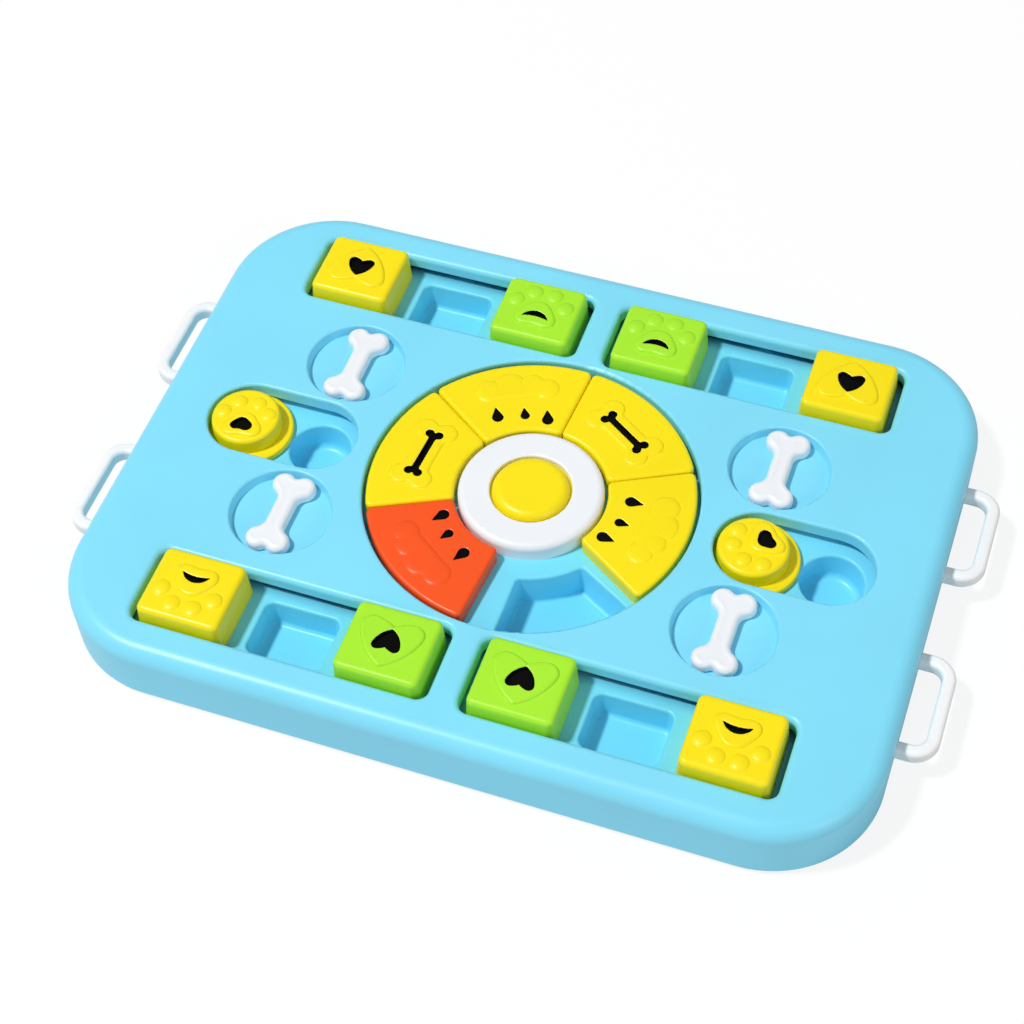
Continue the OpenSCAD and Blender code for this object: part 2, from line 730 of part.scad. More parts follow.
module round_cap(turn) {
    z0 = tray_z + play;
    top = cap_top - z0;
    color(sun) difference() {
        union() {
            rotate_extrude() difference() {
                union() {
                    square([cap_r, top - 2]);
                    square([cap_r - 2, top]);
                    translate([cap_r - 2, top - 2]) circle(2);
                    square([cap_flange_r, flange_top - z0 - 1]);
                    translate([0, flange_top - z0 - 1.2]) square([cap_flange_r - 1, 1.2]);
                    translate([cap_flange_r - 1, flange_top - z0 - 1]) circle(1);
                }
                translate([-1, -1]) square([cap_r - cover_t + 1, top - cover_t + 1]);
                translate([-30, -30]) square([30, 60]);
            }
            rotate(turn) paw_relief(top, [[-10.3, 0], [-4.7, 7.3], [4.3, 8.2], [10.6, 2.2]], -5.6, 1.25);
        }
        rotate(turn) translate([0, -4.8, top - 4]) linear_extrude(8) pad(0.75);
    }
}

// ---------- wheel tiles ----------

// Quarter-round cut along x, for an edge at y = 0, z = 0 that faces +y and +z
module round_cut(l, r) {
    rotate([90, 0, 90]) linear_extrude(l) difference() {
        translate([-r, -r]) square([r + 1, r + 1]);
        translate([-r, -r]) circle(r);
    }
}

// Tile body: a revolved section with rounded edges, hollow below
module tile_body() {
    h = top_z - wheel_z - play;
    half = tile_a / 2;
    difference() {
        rotate(-half) rotate_extrude(angle = tile_a, $fn = 96) difference() {
            union() {
                translate([tile_ir, 0]) square([tile_or - tile_ir, h]);
                square([tile_flange_r, tile_flange_h - play]);
            }
            square([tile_ir - 1, 50]);
            difference() {
                translate([tile_or - tile_edge, h - tile_edge]) square(tile_edge + 1);
                translate([tile_or - tile_edge, h - tile_edge]) circle(tile_edge);
            }
            difference() {
                translate([tile_ir - 1, h - tile_edge]) square([tile_edge + 1, tile_edge + 1]);
                translate([tile_ir + tile_edge, h - tile_edge]) circle(tile_edge);
            }
        }
        // rounding of the two straight top edges
        rotate(half) translate([0, 0, h]) round_cut(tile_flange_r + 1, tile_edge);
        rotate(-half) mirror([0, 1, 0]) translate([0, 0, h]) round_cut(tile_flange_r + 1, tile_edge);
        // hollow underside
        translate([0, 0, -1]) linear_extrude(h - cover_t + 1) intersection() {
            difference() {
                circle(tile_or - cover_t - 0.4);
                circle(tile_ir + cover_t + 0.4);
            }
            rotate(-half) translate([0, cover_t + 0.4]) square([100, 100]);
            rotate(half) translate([0, -100 - cover_t - 0.4]) square([100, 100]);
        }
    }
}

// Tile-local coordinates: x is tangential, y is radial
module cloud_tile(col) {
    h = top_z - wheel_z - play;
    color(col) difference() {
        union() {
            tile_body();
            rotate(-90) translate([0, tile_mid - 0.95, h - 1]) linear_extrude(relief_h + 0.6) cloud_2d();
        }
        for (d = [[-9.5, -8.35, 1], [2.7, -8.95, 0.8], [12.4, -12.35, 1]])
            rotate(-90) translate([d[0], tile_mid + d[1], h - 5]) linear_extrude(10) rotate(-d[0]) drop_2d(d[2]);
    }
}

module bone_tile(col) {
    h = top_z - wheel_z - play;
    color(col) difference() {
        union() {
            tile_body();
            rotate(-90) translate([1.7, tile_mid - 0.55, h - 1]) linear_extrude(relief_h + 0.6) bone_2d(33, 9, 4.6);
        }
        rotate(-90) translate([1.7, tile_mid - 0.55, h - 5]) linear_extrude(10) bone_2d(23, 4.6, 3.1);
    }
}

module at_wheel(i) {
    translate([0, 0, wheel_z + play]) rotate(tile_a0 + i * tile_pitch) children();
}

// ---------- bones, handles, fasteners ----------

// Lift-off bone along y: a rounded upper part over a plain foot, hollow below
module lift_bone(x, y) {
    e = 1.6;
    color(snow) translate([x * dish_x, y * dish_y, dish_z + play / 3]) rotate(90)
    difference() {
        union() {
            linear_extrude(bone_h - e) bone_2d(bone_l, bone_w, lobe_r);
            linear_extrude(bone_h) bone_2d(bone_l - 2 * e, bone_w - 2 * e, lobe_r - e);
            for (sx = [-1, 1])
                for (sy = [-1, 1])
                    translate([sx * (bone_l / 2 - lobe_r), sy * (lobe_r - 0.7), bone_h - e])
                        rotate_extrude() intersection() {
                            translate([lobe_r - e, 0]) circle(e);
                            square([lobe_r + 1, e]);
                        }
        }
        translate([0, 0, -1]) linear_extrude(bone_h - cover_t + 1)
            bone_2d(bone_l - 2 * cover_t, bone_w - 2 * cover_t, lobe_r - cover_t);
    }
}

// Loop handle: two legs through the side wall, two bends and a bar
module handle(x, y) {
    leg = (handle_w - bar_w) / 2;
    bend = handle_r - bar_w / 2;
    x0 = body_l / 2 - wall - 3.5;
    x1 = body_l / 2 + handle_out - bar_w / 2;
    color(snow) translate([0, y * handle_y, handle_z]) mirror([x < 0 ? 1 : 0, 0, 0])
        handle_half(leg, bend, x0, x1);
}

module handle_half(leg, bend, x0, x1) {
    for (s = [-1, 1]) {
        translate([x0, s * leg, 0]) rotate([90, 0, 90]) linear_extrude(x1 - bend - x0)
            rounded_rect(bar_w, bar_h, 2);
        translate([x1 - bend, s * (leg - bend), 0]) rotate(s > 0 ? 0 : 270)
            rotate_extrude(angle = 90) translate([bend, 0]) rounded_rect(bar_w, bar_h, 2);
    }
    translate([x1, 0, 0]) rotate([90, 0, 0]) linear_extrude(2 * (leg - bend), center = true)
        rounded_rect(bar_w, bar_h, 2);
}

module case_screws() {
    color([0.78, 0.78, 0.8])
    for (p = concat(case_bosses, hub_bosses))
        translate([p[0], p[1], seat_z]) difference() {
            union() {
                cylinder(h = screw_l, r = screw_r);
                translate([0, 0, -head_h]) cylinder(h = head_h, r = screw_head_r);
            }
            for (a = [0, 90])
                rotate(a) translate([-2, -0.4, -head_h - 1]) cube([4, 0.8, 2]);
        }
}

module rubber_feet() {
    color([0.25, 0.27, 0.3])
    for (p = feet)
        translate([p[0], p[1], 0]) rotate_extrude() difference() {
            square([foot_r, pan_z + foot_seat]);
            difference() {
                translate([foot_r - 0.6, -0.4]) square([2, 1]);
                translate([foot_r - 0.6, 0.6]) circle(0.6);
            }
        }
}

// ---------- pieces ----------

top_shell();
bottom_shell();
bottom_floor();
bottom_posts();
slot_tray(-1, 1);  // slot_tray_bl
slot_tray(1, 1);  // slot_tray_br
slot_tray(-1, -1);  // slot_tray_fl
slot_tray(1, -1);  // slot_tray_fr
round_tray(-1);  // round_tray_l
round_tray(1);  // round_tray_r
wheel_tray();
hub_ring();
hub_button();
button_spring();
at_slot(-1, 1, -1) heart_block(sun);  // block_bl_outer
at_slot(-1, 1, 1) paw_block(leaf);  // block_bl_inner
at_slot(1, 1, -1) paw_block(leaf);  // block_br_inner
at_slot(1, 1, 1) heart_block(sun);  // block_br_outer
at_slot(-1, -1, -1) paw_block(sun);  // block_fl_outer
at_slot(-1, -1, 1) heart_block(leaf);  // block_fl_inner
at_slot(1, -1, -1) heart_block(leaf);  // block_fr_inner
at_slot(1, -1, 1) paw_block(sun);  // block_fr_outer
translate([-cap_x, 0, tray_z + play]) round_cap(10);  // round_cap_l
translate([cap_x_in, 0, tray_z + play]) round_cap(135);  // round_cap_r
at_wheel(0) cloud_tile(sun);  // tile_cloud_right
at_wheel(1) bone_tile(sun);  // tile_bone_right
at_wheel(2) cloud_tile(sun);  // tile_cloud_top
at_wheel(3) bone_tile(sun);  // tile_bone_left
at_wheel(4) cloud_tile(coral);  // tile_cloud_left
lift_bone(-1, 1);  // bone_bl
lift_bone(1, 1);  // bone_br
lift_bone(-1, -1);  // bone_fl
lift_bone(1, -1);  // bone_fr
handle(-1, 1);  // handle_bl
handle(1, 1);  // handle_br
handle(-1, -1);  // handle_fl
handle(1, -1);  // handle_fr
case_screws();
rubber_feet();
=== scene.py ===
"""Dressed model of a treat puzzle for pets: sliding blocks, round caps, a wheel of tiles, bones and handles.

All sizes in the code are millimetres in the frame of the part: x along the long side, y to the back, z up,
origin on the standing surface. They turn into metres when a mesh is made.
"""

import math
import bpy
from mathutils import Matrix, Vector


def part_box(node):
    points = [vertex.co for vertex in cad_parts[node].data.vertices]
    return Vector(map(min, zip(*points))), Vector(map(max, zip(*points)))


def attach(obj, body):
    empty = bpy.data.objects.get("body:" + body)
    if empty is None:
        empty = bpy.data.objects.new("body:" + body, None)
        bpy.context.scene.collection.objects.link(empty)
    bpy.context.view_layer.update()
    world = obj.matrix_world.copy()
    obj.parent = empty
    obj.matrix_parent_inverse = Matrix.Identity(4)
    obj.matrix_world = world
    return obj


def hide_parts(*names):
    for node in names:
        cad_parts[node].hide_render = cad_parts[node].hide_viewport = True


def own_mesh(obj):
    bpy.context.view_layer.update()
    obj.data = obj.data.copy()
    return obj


bl_info = {
    "name": "Treat puzzle dressing",
    "version": (1, 0, 0),
    "blender": (4, 5, 0),
    "location": "3D View > Sidebar > Treat puzzle",
    "description": "Builds the covers, reliefs, finishes and stage of a treat puzzle for pets",
    "category": "Add Mesh",
}

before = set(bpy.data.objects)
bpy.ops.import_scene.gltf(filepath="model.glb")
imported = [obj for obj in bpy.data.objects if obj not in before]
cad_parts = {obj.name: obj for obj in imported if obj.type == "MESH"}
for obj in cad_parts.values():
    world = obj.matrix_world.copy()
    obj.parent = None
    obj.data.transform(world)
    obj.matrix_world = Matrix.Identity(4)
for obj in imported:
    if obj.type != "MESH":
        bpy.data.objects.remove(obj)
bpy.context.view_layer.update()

import bpy
import numpy as np
from bpy.props import FloatProperty, FloatVectorProperty, PointerProperty
from mathutils import Matrix, Vector
from mathutils.geometry import delaunay_2d_cdt

MM = 1e3  # millimetres in a metre
POCKET_MIDDLES = (-43.5, 0.0, 43.5)
CUP_MIDDLES = (-16.9, 16.9)
# outer and inner radius, half angle in degrees, bar between pockets and corner radius of a wedge pocket
WEDGE = (70.4, 40.3, 30, 13.3, 3.0)
# length, shaft, lobe radius, lobe height, neck fillet and notch fillet of a lift-off bone, as half sizes
BONE = (20.0, 4.4, 5.2, 4.48, 5.0, 1.6)
# point, notch, middle and radius of a lobe, side radius and crown radius of the raised heart and of its hole
HEART = (12.5, -7.4, 8.5, -5.4, 5.2, 27.2, 17.3)
HEART_HOLE = (5.8, -3.25, 3.8, -2.55, 2.3, 11.0, 10.2)
KEY_PLACE, KEY_SIZE = (-1.40, -0.74, 3.12), 0.4  # metres, as all of the stage
FILL_PLACE, FILL_SIZE = (3.0, -1.6, 1.8), 2.0
PAPER_TONES = (0.72, 0.98)  # grey of the floor for light and for the camera
PAPER_WHITE = 0.86  # share of plain white in the floor that the camera sees
CAMERA_TURN = (21.539, 53.214, -2.949)  # azimuth, elevation and roll in degrees
CAMERA_PLACE = (0.190016, -0.504835, 0.737853)
# Which relief, which colour, and by how many degrees the block is turned
BLOCKS = {
    "block_bl_outer": ("heart", "sun", 0),
    "block_bl_inner": ("paw", "leaf", 0),
    "block_br_inner": ("paw", "leaf", 0),
    "block_br_outer": ("heart", "sun", 0),
    "block_fl_outer": ("paw", "sun", 180),
    "block_fl_inner": ("heart", "leaf", 180),
    "block_fr_inner": ("heart", "leaf", 180),
    "block_fr_outer": ("paw", "sun", 180),
}
CAPS = {"round_cap_l": 10, "round_cap_r": 135}
# Which relief, which colour, and the place in the ring, counted from the right
TILES = {
    "tile_cloud_right": ("cloud", "sun", 0),
    "tile_bone_right": ("bone", "sun", 1),
    "tile_cloud_top": ("cloud", "sun", 2),
    "tile_bone_left": ("bone", "sun", 3),
    "tile_cloud_left": ("cloud", "coral", 4),
}
SHAPES = {}  # first mesh of each relief, which later covers copy


def centre_of(node):
    """Middle of a CAD node in x and y, and its lowest and highest z, in millimetres."""
    lo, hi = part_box(node)
    return MM / 2 * (lo.x + hi.x), MM / 2 * (lo.y + hi.y), MM * lo.z, MM * hi.z


# ---------- settings ----------


class PuzzleColours(bpy.types.PropertyGroup):
    """Colours of the moulded plastics, with a shaded copy of the housing's blue as painted shade for the trays and
    near-black painted shade for the holes.
    """

    sky: FloatVectorProperty(name="Housing", description="Blue of the housing and the trays", subtype="COLOR",
                             size=3, min=0, max=1, default=(0.235, 0.75, 0.975))
    # deep: the trays are the same blue plastic as the housing; this copy with less red is painted shade that deepens
    # the blue of the pockets and recesses
    deep: FloatVectorProperty(name="Trays", description="Deeper blue of the trays under the covers", subtype="COLOR",
                              size=3, min=0, max=1, default=(0.19, 0.74, 0.965))
    sun: FloatVectorProperty(name="Yellow covers", description="Yellow of blocks, caps, tiles and button",
                             subtype="COLOR", size=3, min=0, max=1, default=(0.99, 0.80, 0.003))
    leaf: FloatVectorProperty(name="Green blocks", description="Green of the four inner blocks", subtype="COLOR",
                              size=3, min=0, max=1, default=(0.41, 0.87, 0.03))
    coral: FloatVectorProperty(name="Red tile", description="Red of one wheel tile", subtype="COLOR", size=3,
                               min=0, max=1, default=(0.97, 0.095, 0.01))
    snow: FloatVectorProperty(name="White pieces", description="White of bones, ring and handles", subtype="COLOR",
                              size=3, min=0, max=1, default=(0.88, 0.915, 0.955))
    # shade: near-black painted shade on the floor of each shaped hole, standing in for the dark inside of holes that go
    # through to the pockets
    shade: FloatVectorProperty(name="Hole lining", description="Black lining of the shaped holes", subtype="COLOR",
                               size=3, min=0, max=1, default=(0.006, 0.006, 0.006))


class PuzzleFinish(bpy.types.PropertyGroup):
    """Surface of the moulded plastics."""

    roughness: FloatProperty(name="Roughness", description="Mean roughness of the plastic", default=0.35, min=0.05,
                             max=0.9, subtype="FACTOR")
    grain: FloatProperty(name="Grain size", description="Size of the fine moulded grain", default=0.0005,
                         min=0.0001, max=0.005, unit="LENGTH")
    relief: FloatProperty(name="Relief height", description="Height of hearts, paws, clouds and bones above their flat",
                          default=0.0011, min=0.0002, max=0.0015, unit="LENGTH")
    hole_depth: FloatProperty(name="Hole depth", description="How deep the shaped holes go", default=0.0012,
                              min=0.001, max=0.006, unit="LENGTH")


class PuzzleCovers(bpy.types.PropertyGroup):
    """Sizes of the covers, inside the boxes of the CAD nodes that they replace."""

    block_length: FloatProperty(name="Block length", description="Length of a block at its foot", default=0.0385,
                                unit="LENGTH")
    block_width: FloatProperty(name="Block width", description="Width of a block at its foot", default=0.0353,
                               unit="LENGTH")
    block_lean: FloatProperty(name="Block lean", description="How far a block leans in from foot to top",
                              default=0.0009, unit="LENGTH")
    block_edge: FloatProperty(name="Block edge", description="Rounding of the top edge of a block",
                              default=0.0023, unit="LENGTH")
    block_corner: FloatProperty(name="Block corner", description="Upright corner radius of a block",
                                default=0.0042, unit="LENGTH")
    cap_radius: FloatProperty(name="Cap radius", description="Radius of a round cap", default=0.0156, unit="LENGTH")
    cap_flange: FloatProperty(name="Cap flange", description="Radius of the flange of a round cap",
                              default=0.0202, unit="LENGTH")
    tile_angle: FloatProperty(name="Tile angle", description="Angle that a wheel tile covers",
                              default=math.radians(59.2), subtype="ANGLE")
    tile_pitch: FloatProperty(name="Tile pitch", description="Angle between neighbouring tiles",
                              default=math.radians(59.6), subtype="ANGLE")
    tile_start: FloatProperty(name="First tile", description="Angle of the first tile", default=math.radians(-3.6),
                              subtype="ANGLE")
    tile_outer: FloatProperty(name="Tile outer radius", description="Outer radius of a tile", default=0.0709,
                              unit="LENGTH")
    tile_inner: FloatProperty(name="Tile inner radius", description="Inner radius of a tile", default=0.0330,
                              unit="LENGTH")
    tile_flat: FloatProperty(name="Tile flat", description="Height of the flat of a tile", default=0.0316,
                             unit="LENGTH")


class PuzzleTrays(bpy.types.PropertyGroup):
    """Sizes of the pockets in the trays."""

    pocket_length: FloatProperty(name="Pocket length", description="Length of a pocket under a block",
                                 default=0.0346, unit="LENGTH")
    pocket_width: FloatProperty(name="Pocket width", description="Width of a pocket under a block",
                                default=0.027, unit="LENGTH")
    pocket_corner: FloatProperty(name="Pocket corner", description="Upright corner radius of a pocket",
                                 default=0.0045, unit="LENGTH")
    pocket_floor: FloatProperty(name="Pocket floor", description="Height of the pocket floors", default=0.0075,
                                unit="LENGTH")
    floor_round: FloatProperty(name="Floor rounding", description="Rounding between wall and floor of a pocket",
                               default=0.0024, unit="LENGTH")
    cup_radius: FloatProperty(name="Cup radius", description="Radius of the round pockets", default=0.0141,
                              unit="LENGTH")
    wheel_floor: FloatProperty(name="Wheel floor", description="Height of the floor of the wheel", default=0.024,
                               unit="LENGTH")


class PuzzleStage(bpy.types.PropertyGroup):
    """Lamps and camera."""

    key_power: FloatProperty(name="Key lamp", description="Power of the large lamp in watts", default=87, min=0)
    fill_power: FloatProperty(name="Fill lamp", description="Power of the weak lamp in front in watts", default=28,
                              min=0)
    room: FloatProperty(name="Room light", description="Strength of the even light of the room", default=0.30,
                        min=0)
    lens: FloatProperty(name="Lens", description="Focal length of the camera in millimetres", default=73.25, min=10)


GROUPS = {"puzzle_colours": PuzzleColours, "puzzle_finish": PuzzleFinish, "puzzle_covers": PuzzleCovers,
          "puzzle_trays": PuzzleTrays, "puzzle_stage": PuzzleStage}


# ---------- outlines and distances, arrays of points in the plane ----------


def arc(cx, cy, r, a0, a1, n):
    """Points on a circle: centre plus r times (cos a, sin a), a from a0 to a1 degrees."""
    a = np.radians(np.linspace(a0, a1, n))
    return np.stack([cx + r * np.cos(a), cy + r * np.sin(a)], 1)


def resample(points, n):
    """n points at even steps of length along a closed outline."""
    loop = np.vstack([points, points[:1]])
    step = np.hypot(*np.diff(loop, axis=0).T)
    keep = np.r_[step > 1e-9, True]
    loop = loop[keep]
    length = np.r_[0, np.cumsum(np.hypot(*np.diff(loop, axis=0).T))]
    t = np.linspace(0, length[-1], n, endpoint=False)
    return np.stack([np.interp(t, length, loop[:, k]) for k in (0, 1)], 1)


def distance(p, outline, closed=True):
    """Distance from points to a polyline, as the least of those to its segments; negative inside a closed one."""
    a = outline
    b = np.roll(outline, -1, 0) if closed else outline[1:]
    a = a[: len(b)]
    out = np.empty(len(p))
    d = b - a
    dd = np.maximum((d * d).sum(1), 1e-18)
    for k in range(0, len(p), 20000):
        q = p[k : k + 20000, None, :] - a[None]
        t = np.clip((q * d).sum(2) / dd, 0, 1)
        near = q - t[..., None] * d
        best = np.sqrt((near * near).sum(2).min(1))
        if closed:
            y, x = p[k : k + 20000, None, 1], p[k : k + 20000, None, 0]
            above = (a[:, 1] > y) != (b[:, 1] > y)
            with np.errstate(divide="ignore", invalid="ignore"):
                cross = x < a[:, 0] + (y - a[:, 1]) * d[:, 0] / np.where(d[:, 1] == 0, 1e-18, d[:, 1])
            best = np.where((above & cross).sum(1) % 2 == 1, -best, best)
        out[k : k + 20000] = best
    return out


def rounded_box(l, w, r, n=24):
    """Outline of a rectangle l by w with corner radius r."""
    x, y = l / 2 - r, w / 2 - r
    return np.vstack([arc(x, y, r, 0, 90, n), arc(-x, y, r, 90, 180, n), arc(-x, -y, r, 180, 270, n),
                      arc(x, -y, r, 270, 360, n)])


def heart_outline(tip, notch, cx, cy, r, side, crown):
    """Heart with its point at (0, tip) above its notch at (0, notch): an arc of radius side from the point, one of
    radius r about (cx, cy), and one of radius crown to the notch, each running smoothly into the next."""

    def limb(y, radius, sign):
        """Middle of the arc of that radius through (0, y) that the corner's circle touches from inside."""
        reach = math.hypot(cx, cy - y)
        along = (radius**2 - (radius - r) ** 2 + reach**2) / (2 * reach)
        off = sign * math.sqrt(radius**2 - along**2)
        ux, uy = cx / reach, (cy - y) / reach
        return along * ux - off * uy, y + along * uy + off * ux

    def turn(x, y):
        return math.degrees(math.atan2(y, x))

    mx, my = limb(tip, side, -1)
    kx, ky = limb(notch, crown, 1)
    a, b = turn(cx - mx, cy - my), turn(cx - kx, cy - ky)
    right = np.vstack([arc(mx, my, side, turn(-mx, tip - my), a, 24), arc(cx, cy, r, a, b, 24)[1:],
                       arc(kx, ky, crown, b, turn(-kx, notch - ky), 24)[1:]])
    return np.vstack([right, (right * [-1, 1])[::-1][1:-1]])


def crescent(span, rise, thick):
    """Crescent between two arcs that share their ends at (-span, -rise) and (span, -rise)."""
    out = []
    for drop, y in ((rise, 0.0), (rise - thick, -thick)):
        r = (span**2 + drop**2) / (2 * drop)
        a = math.degrees(math.asin(span / r))
        out.append(arc(0, y - r, r, 90 + a, 90 - a, 30))
    return np.vstack([out[0], out[1][::-1][1:-1]])


def bone_loop(l, w, r, y, neck, notch, inset):
    """Bone outline along x, anticlockwise from the notch at its +x end: lobes of radius r at height y, fillets neck
    and notch between them and the shaft of half width w. All arcs keep their middles and angles when drawn in."""
    x = l - r
    xn = x + math.sqrt((r + notch) ** 2 - y**2)
    xf = x - math.sqrt((r + neck) ** 2 - (w + neck - y) ** 2)
    an = math.degrees(math.atan2(y, x - xn))
    af = math.degrees(math.atan2(w + neck - y, xf - x))
    q = np.vstack([arc(xn, 0, notch + inset, 180, an, 8)[:-1], arc(x, y, r - inset, an - 180, af, 36),
                   arc(xf, w + neck, neck + inset, af - 180, -90, 16)[1:],
                   np.c_[np.linspace(xf, 0, 10)[1:], np.full(9, w - inset)]])
    return np.vstack([q, (q * [-1, 1])[::-1][1:], -q[1:], (q * [1, -1])[::-1][1:-1]])


def sector_loop(ro, ri, half, bar, c, inset=0.0):
    """Sector between radii ri and ro with its middle line on +y, anticlockwise: its sides stand at half degrees from
    the middle line and bar / 2 inside it, its corners have radius c, and all is drawn in by inset."""
    u = np.array([math.sin(math.radians(half)), math.cos(math.radians(half))])
    v = np.array([-u[1], u[0]])
    off = bar / 2 + c
    po = u * math.sqrt((ro - c) ** 2 - off**2) + v * off
    pi = u * math.sqrt((ri + c) ** 2 - off**2) + v * off
    ao, ai = (math.degrees(math.atan2(q[1], q[0])) for q in (po, pi))
    right = np.vstack([arc(*pi, c - inset, ai - 180, -half, 12), arc(*po, c - inset, -half, ao, 12)])
    return np.vstack([right, arc(0, 0, ro - inset, ao, 180 - ao, 60)[1:-1], (right * [-1, 1])[::-1],
                      arc(0, 0, ri + inset, 180 - ai, ai, 40)[1:-1]])


def union_distance(p, circles, boxes, soft=0.0):
    """Distance to a union of circles (x, y, r) and boxes (x0, x1, y0, y1), with rounded inner corners of size soft."""
    parts = [np.hypot(p[:, 0] - x, p[:, 1] - y) - r for x, y, r in circles]
    for x0, x1, y0, y1 in boxes:
        qx = np.abs(p[:, 0] - (x0 + x1) / 2) - (x1 - x0) / 2
        qy = np.abs(p[:, 1] - (y0 + y1) / 2) - (y1 - y0) / 2
        parts.append(np.hypot(np.maximum(qx, 0), np.maximum(qy, 0)) + np.minimum(np.maximum(qx, qy), 0))
    d = parts[0]
    for e in parts[1:]:
        if soft > 0:
            h = np.clip(0.5 + 0.5 * (e - d) / soft, 0, 1)
            d = e * (1 - h) + d * h - soft * h * (1 - h)
        else:
            d = np.minimum(d, e)
    return d


def pillow(d, edge):
    """Height from 0 on an outline to 1 at depth edge inside it, along a quarter circle."""
    t = np.clip(-d / edge, 0, 1)
    return np.sqrt(1 - (1 - t) ** 2)


# ---------- reliefs: distance to the raised form and to the holes ----------


def heart_relief(p):
    """Raised heart with its point on +y, and a small heart hole with its point on -y."""
    raised = pillow(distance(p, heart_outline(*HEART)), 1.5)
    return raised, distance(p, heart_outline(*HEART_HOLE) * [1, -1])


def toe_domes(p, toes, r):
    """Flat round domes on circles of radius r."""
    out = np.zeros(len(p))
    for x, y in toes:
        out = np.maximum(out, np.clip(1 - ((p[:, 0] - x) ** 2 + (p[:, 1] - y) ** 2) / r**2, 0, 1) ** 0.6)
    return out


def pad_form(p, y, s):
    """Raised pad of a paw: a round middle and two lower lobes, joined softly."""
    d = union_distance(p - [0, y], [(0, 0, 4.7 * s), (-3.9 * s, -2.5 * s, 2.7 * s), (3.9 * s, -2.5 * s, 2.7 * s)],
                       [(-3 * s, 3 * s, -3 * s, 0)], 2.8 * s)
    return pillow(d, 1.7)


def paw_relief(p):
    """Paw of a block: four toe domes, a pad that bends round a crescent hole."""
    toes = [(-11.7, 3.6), (-4.9, 9.7), (4.7, 9.7), (11.7, 3.8)]
    raised = np.maximum(pad_form(p, -2.4, 1.45), toe_domes(p, toes, 3.8))
    return raised, distance(p, crescent(6.2, 4.3, 3.2) + [0, -1.8])


def small_paw_relief(p):
    """Paw of a round cap: four toe domes, a pad with two lobes, and a bean-shaped hole."""
    toes = [(-10.1, 1.3), (-4.2, 7.2), (4.5, 7.0), (10.0, 1.4)]
    bean = union_distance(p - [-0.5, -6.2], [(-2.5, -0.3, 2.3), (2.4, -0.4, 2.6), (0.0, 1.0, 3.2)], [], 1.6)
    return np.maximum(pad_form(p, -4.8, 1.33), toe_domes(p, toes, 3.5)), bean


def cloud_relief(p):
    """Cloud of four domes over a straight foot, with three drop holes below it; x tangential, y radial."""
    c = [(-11.6, 56.9, 6.1), (-2.2, 58.7, 7.0), (7.6, 58.1, 5.7), (13.7, 54.9, 5.5)]
    puff = np.zeros(len(p))
    for x, y, r in c:
        puff = np.maximum(puff, pillow(np.hypot(p[:, 0] - x, p[:, 1] - y) - r, 3.6))
    body = pillow(union_distance(p, [], [(-11.6, 13.7, 51.1, 59)]), 2.6)
    raised = np.maximum(puff, body)
    hole = np.full(len(p), 99.0)
    for x, y, s in ((-9.8, 43.0, 1.3), (2.3, 42.1, 1.05), (11.9, 38.45, 1.3)):
        a = math.radians(-x * 0.4)
        q = (p - [x, y]) @ np.array([[math.cos(a), -math.sin(a)], [math.sin(a), math.cos(a)]])
        hole = np.minimum(hole, distance(q, np.vstack([[[0, 3.6]], arc(0, -0.9, 1.95, 26, -206, 30)]) * s))
    return raised, hole


def bone_relief(p):
    """Raised bone round a bone-shaped hole; x tangential, y radial."""
    q = p - [0.3, 50.8]
    return (pillow(distance(q, bone_loop(18.4, 5.8, 5.1, 4.5, 2.5, 1.5, 0)), 1.6),
            distance(q, bone_loop(12.9, 1.6, 2.0, 2.15, 1.0, 0.6, 0)))


# ---------- surfaces ----------


def normals_of(loop):
    """Outward unit normals of a closed outline that runs anticlockwise."""
    t = np.roll(loop, -1, 0) - np.roll(loop, 1, 0)
    t /= np.maximum(np.hypot(*t.T), 1e-12)[:, None]
    return np.stack([t[:, 1], -t[:, 0]], 1)


def rings_to_mesh(name, rings):
    """Closed surface from rings of equal size, each n by 3. First and last ring are drawn together to a pole."""
    k, n = len(rings), len(rings[0])
    co = np.vstack(rings[1:-1]).reshape(-1, 3)
    m = k - 2
    i = np.arange(m - 1)[:, None] * n
    j = np.arange(n)[None]
    j1 = (j + 1) % n
    quads = np.stack([i + j, i + n + j, i + n + j1, i + j1], 2).reshape(-1, 4)
    first, last = len(co), len(co) + 1
    co = np.vstack([co, rings[0].mean(0), rings[-1].mean(0)])
    a = np.arange(n)
    caps = np.vstack([np.stack([np.full(n, first), a, (a + 1) % n], 1),
                      np.stack([np.full(n, last), (m - 1) * n + (a + 1) % n, (m - 1) * n + a], 1)])
    return make_mesh(name, co, quads, caps)


def make_mesh(name, co, quads, tris):
    """Mesh object from points in millimetres and index arrays."""
    mesh = bpy.data.meshes.new(name)
    mesh.vertices.add(len(co))
    mesh.vertices.foreach_set("co", (co * 0.001).astype(np.float32).ravel())
    loops = np.concatenate([quads.ravel(), tris.ravel()]).astype(np.int32)
    start = np.concatenate([np.arange(len(quads)) * 4, len(quads) * 4 + np.arange(len(tris)) * 3]).astype(np.int32)
    mesh.loops.add(len(loops))
    mesh.loops.foreach_set("vertex_index", loops)
    mesh.polygons.add(len(start))
    mesh.polygons.foreach_set("loop_start", start)
    mesh.update(calc_edges=True)
    mesh.validate()
    obj = bpy.data.objects.new(name, mesh)
    bpy.context.scene.collection.objects.link(obj)
    return obj


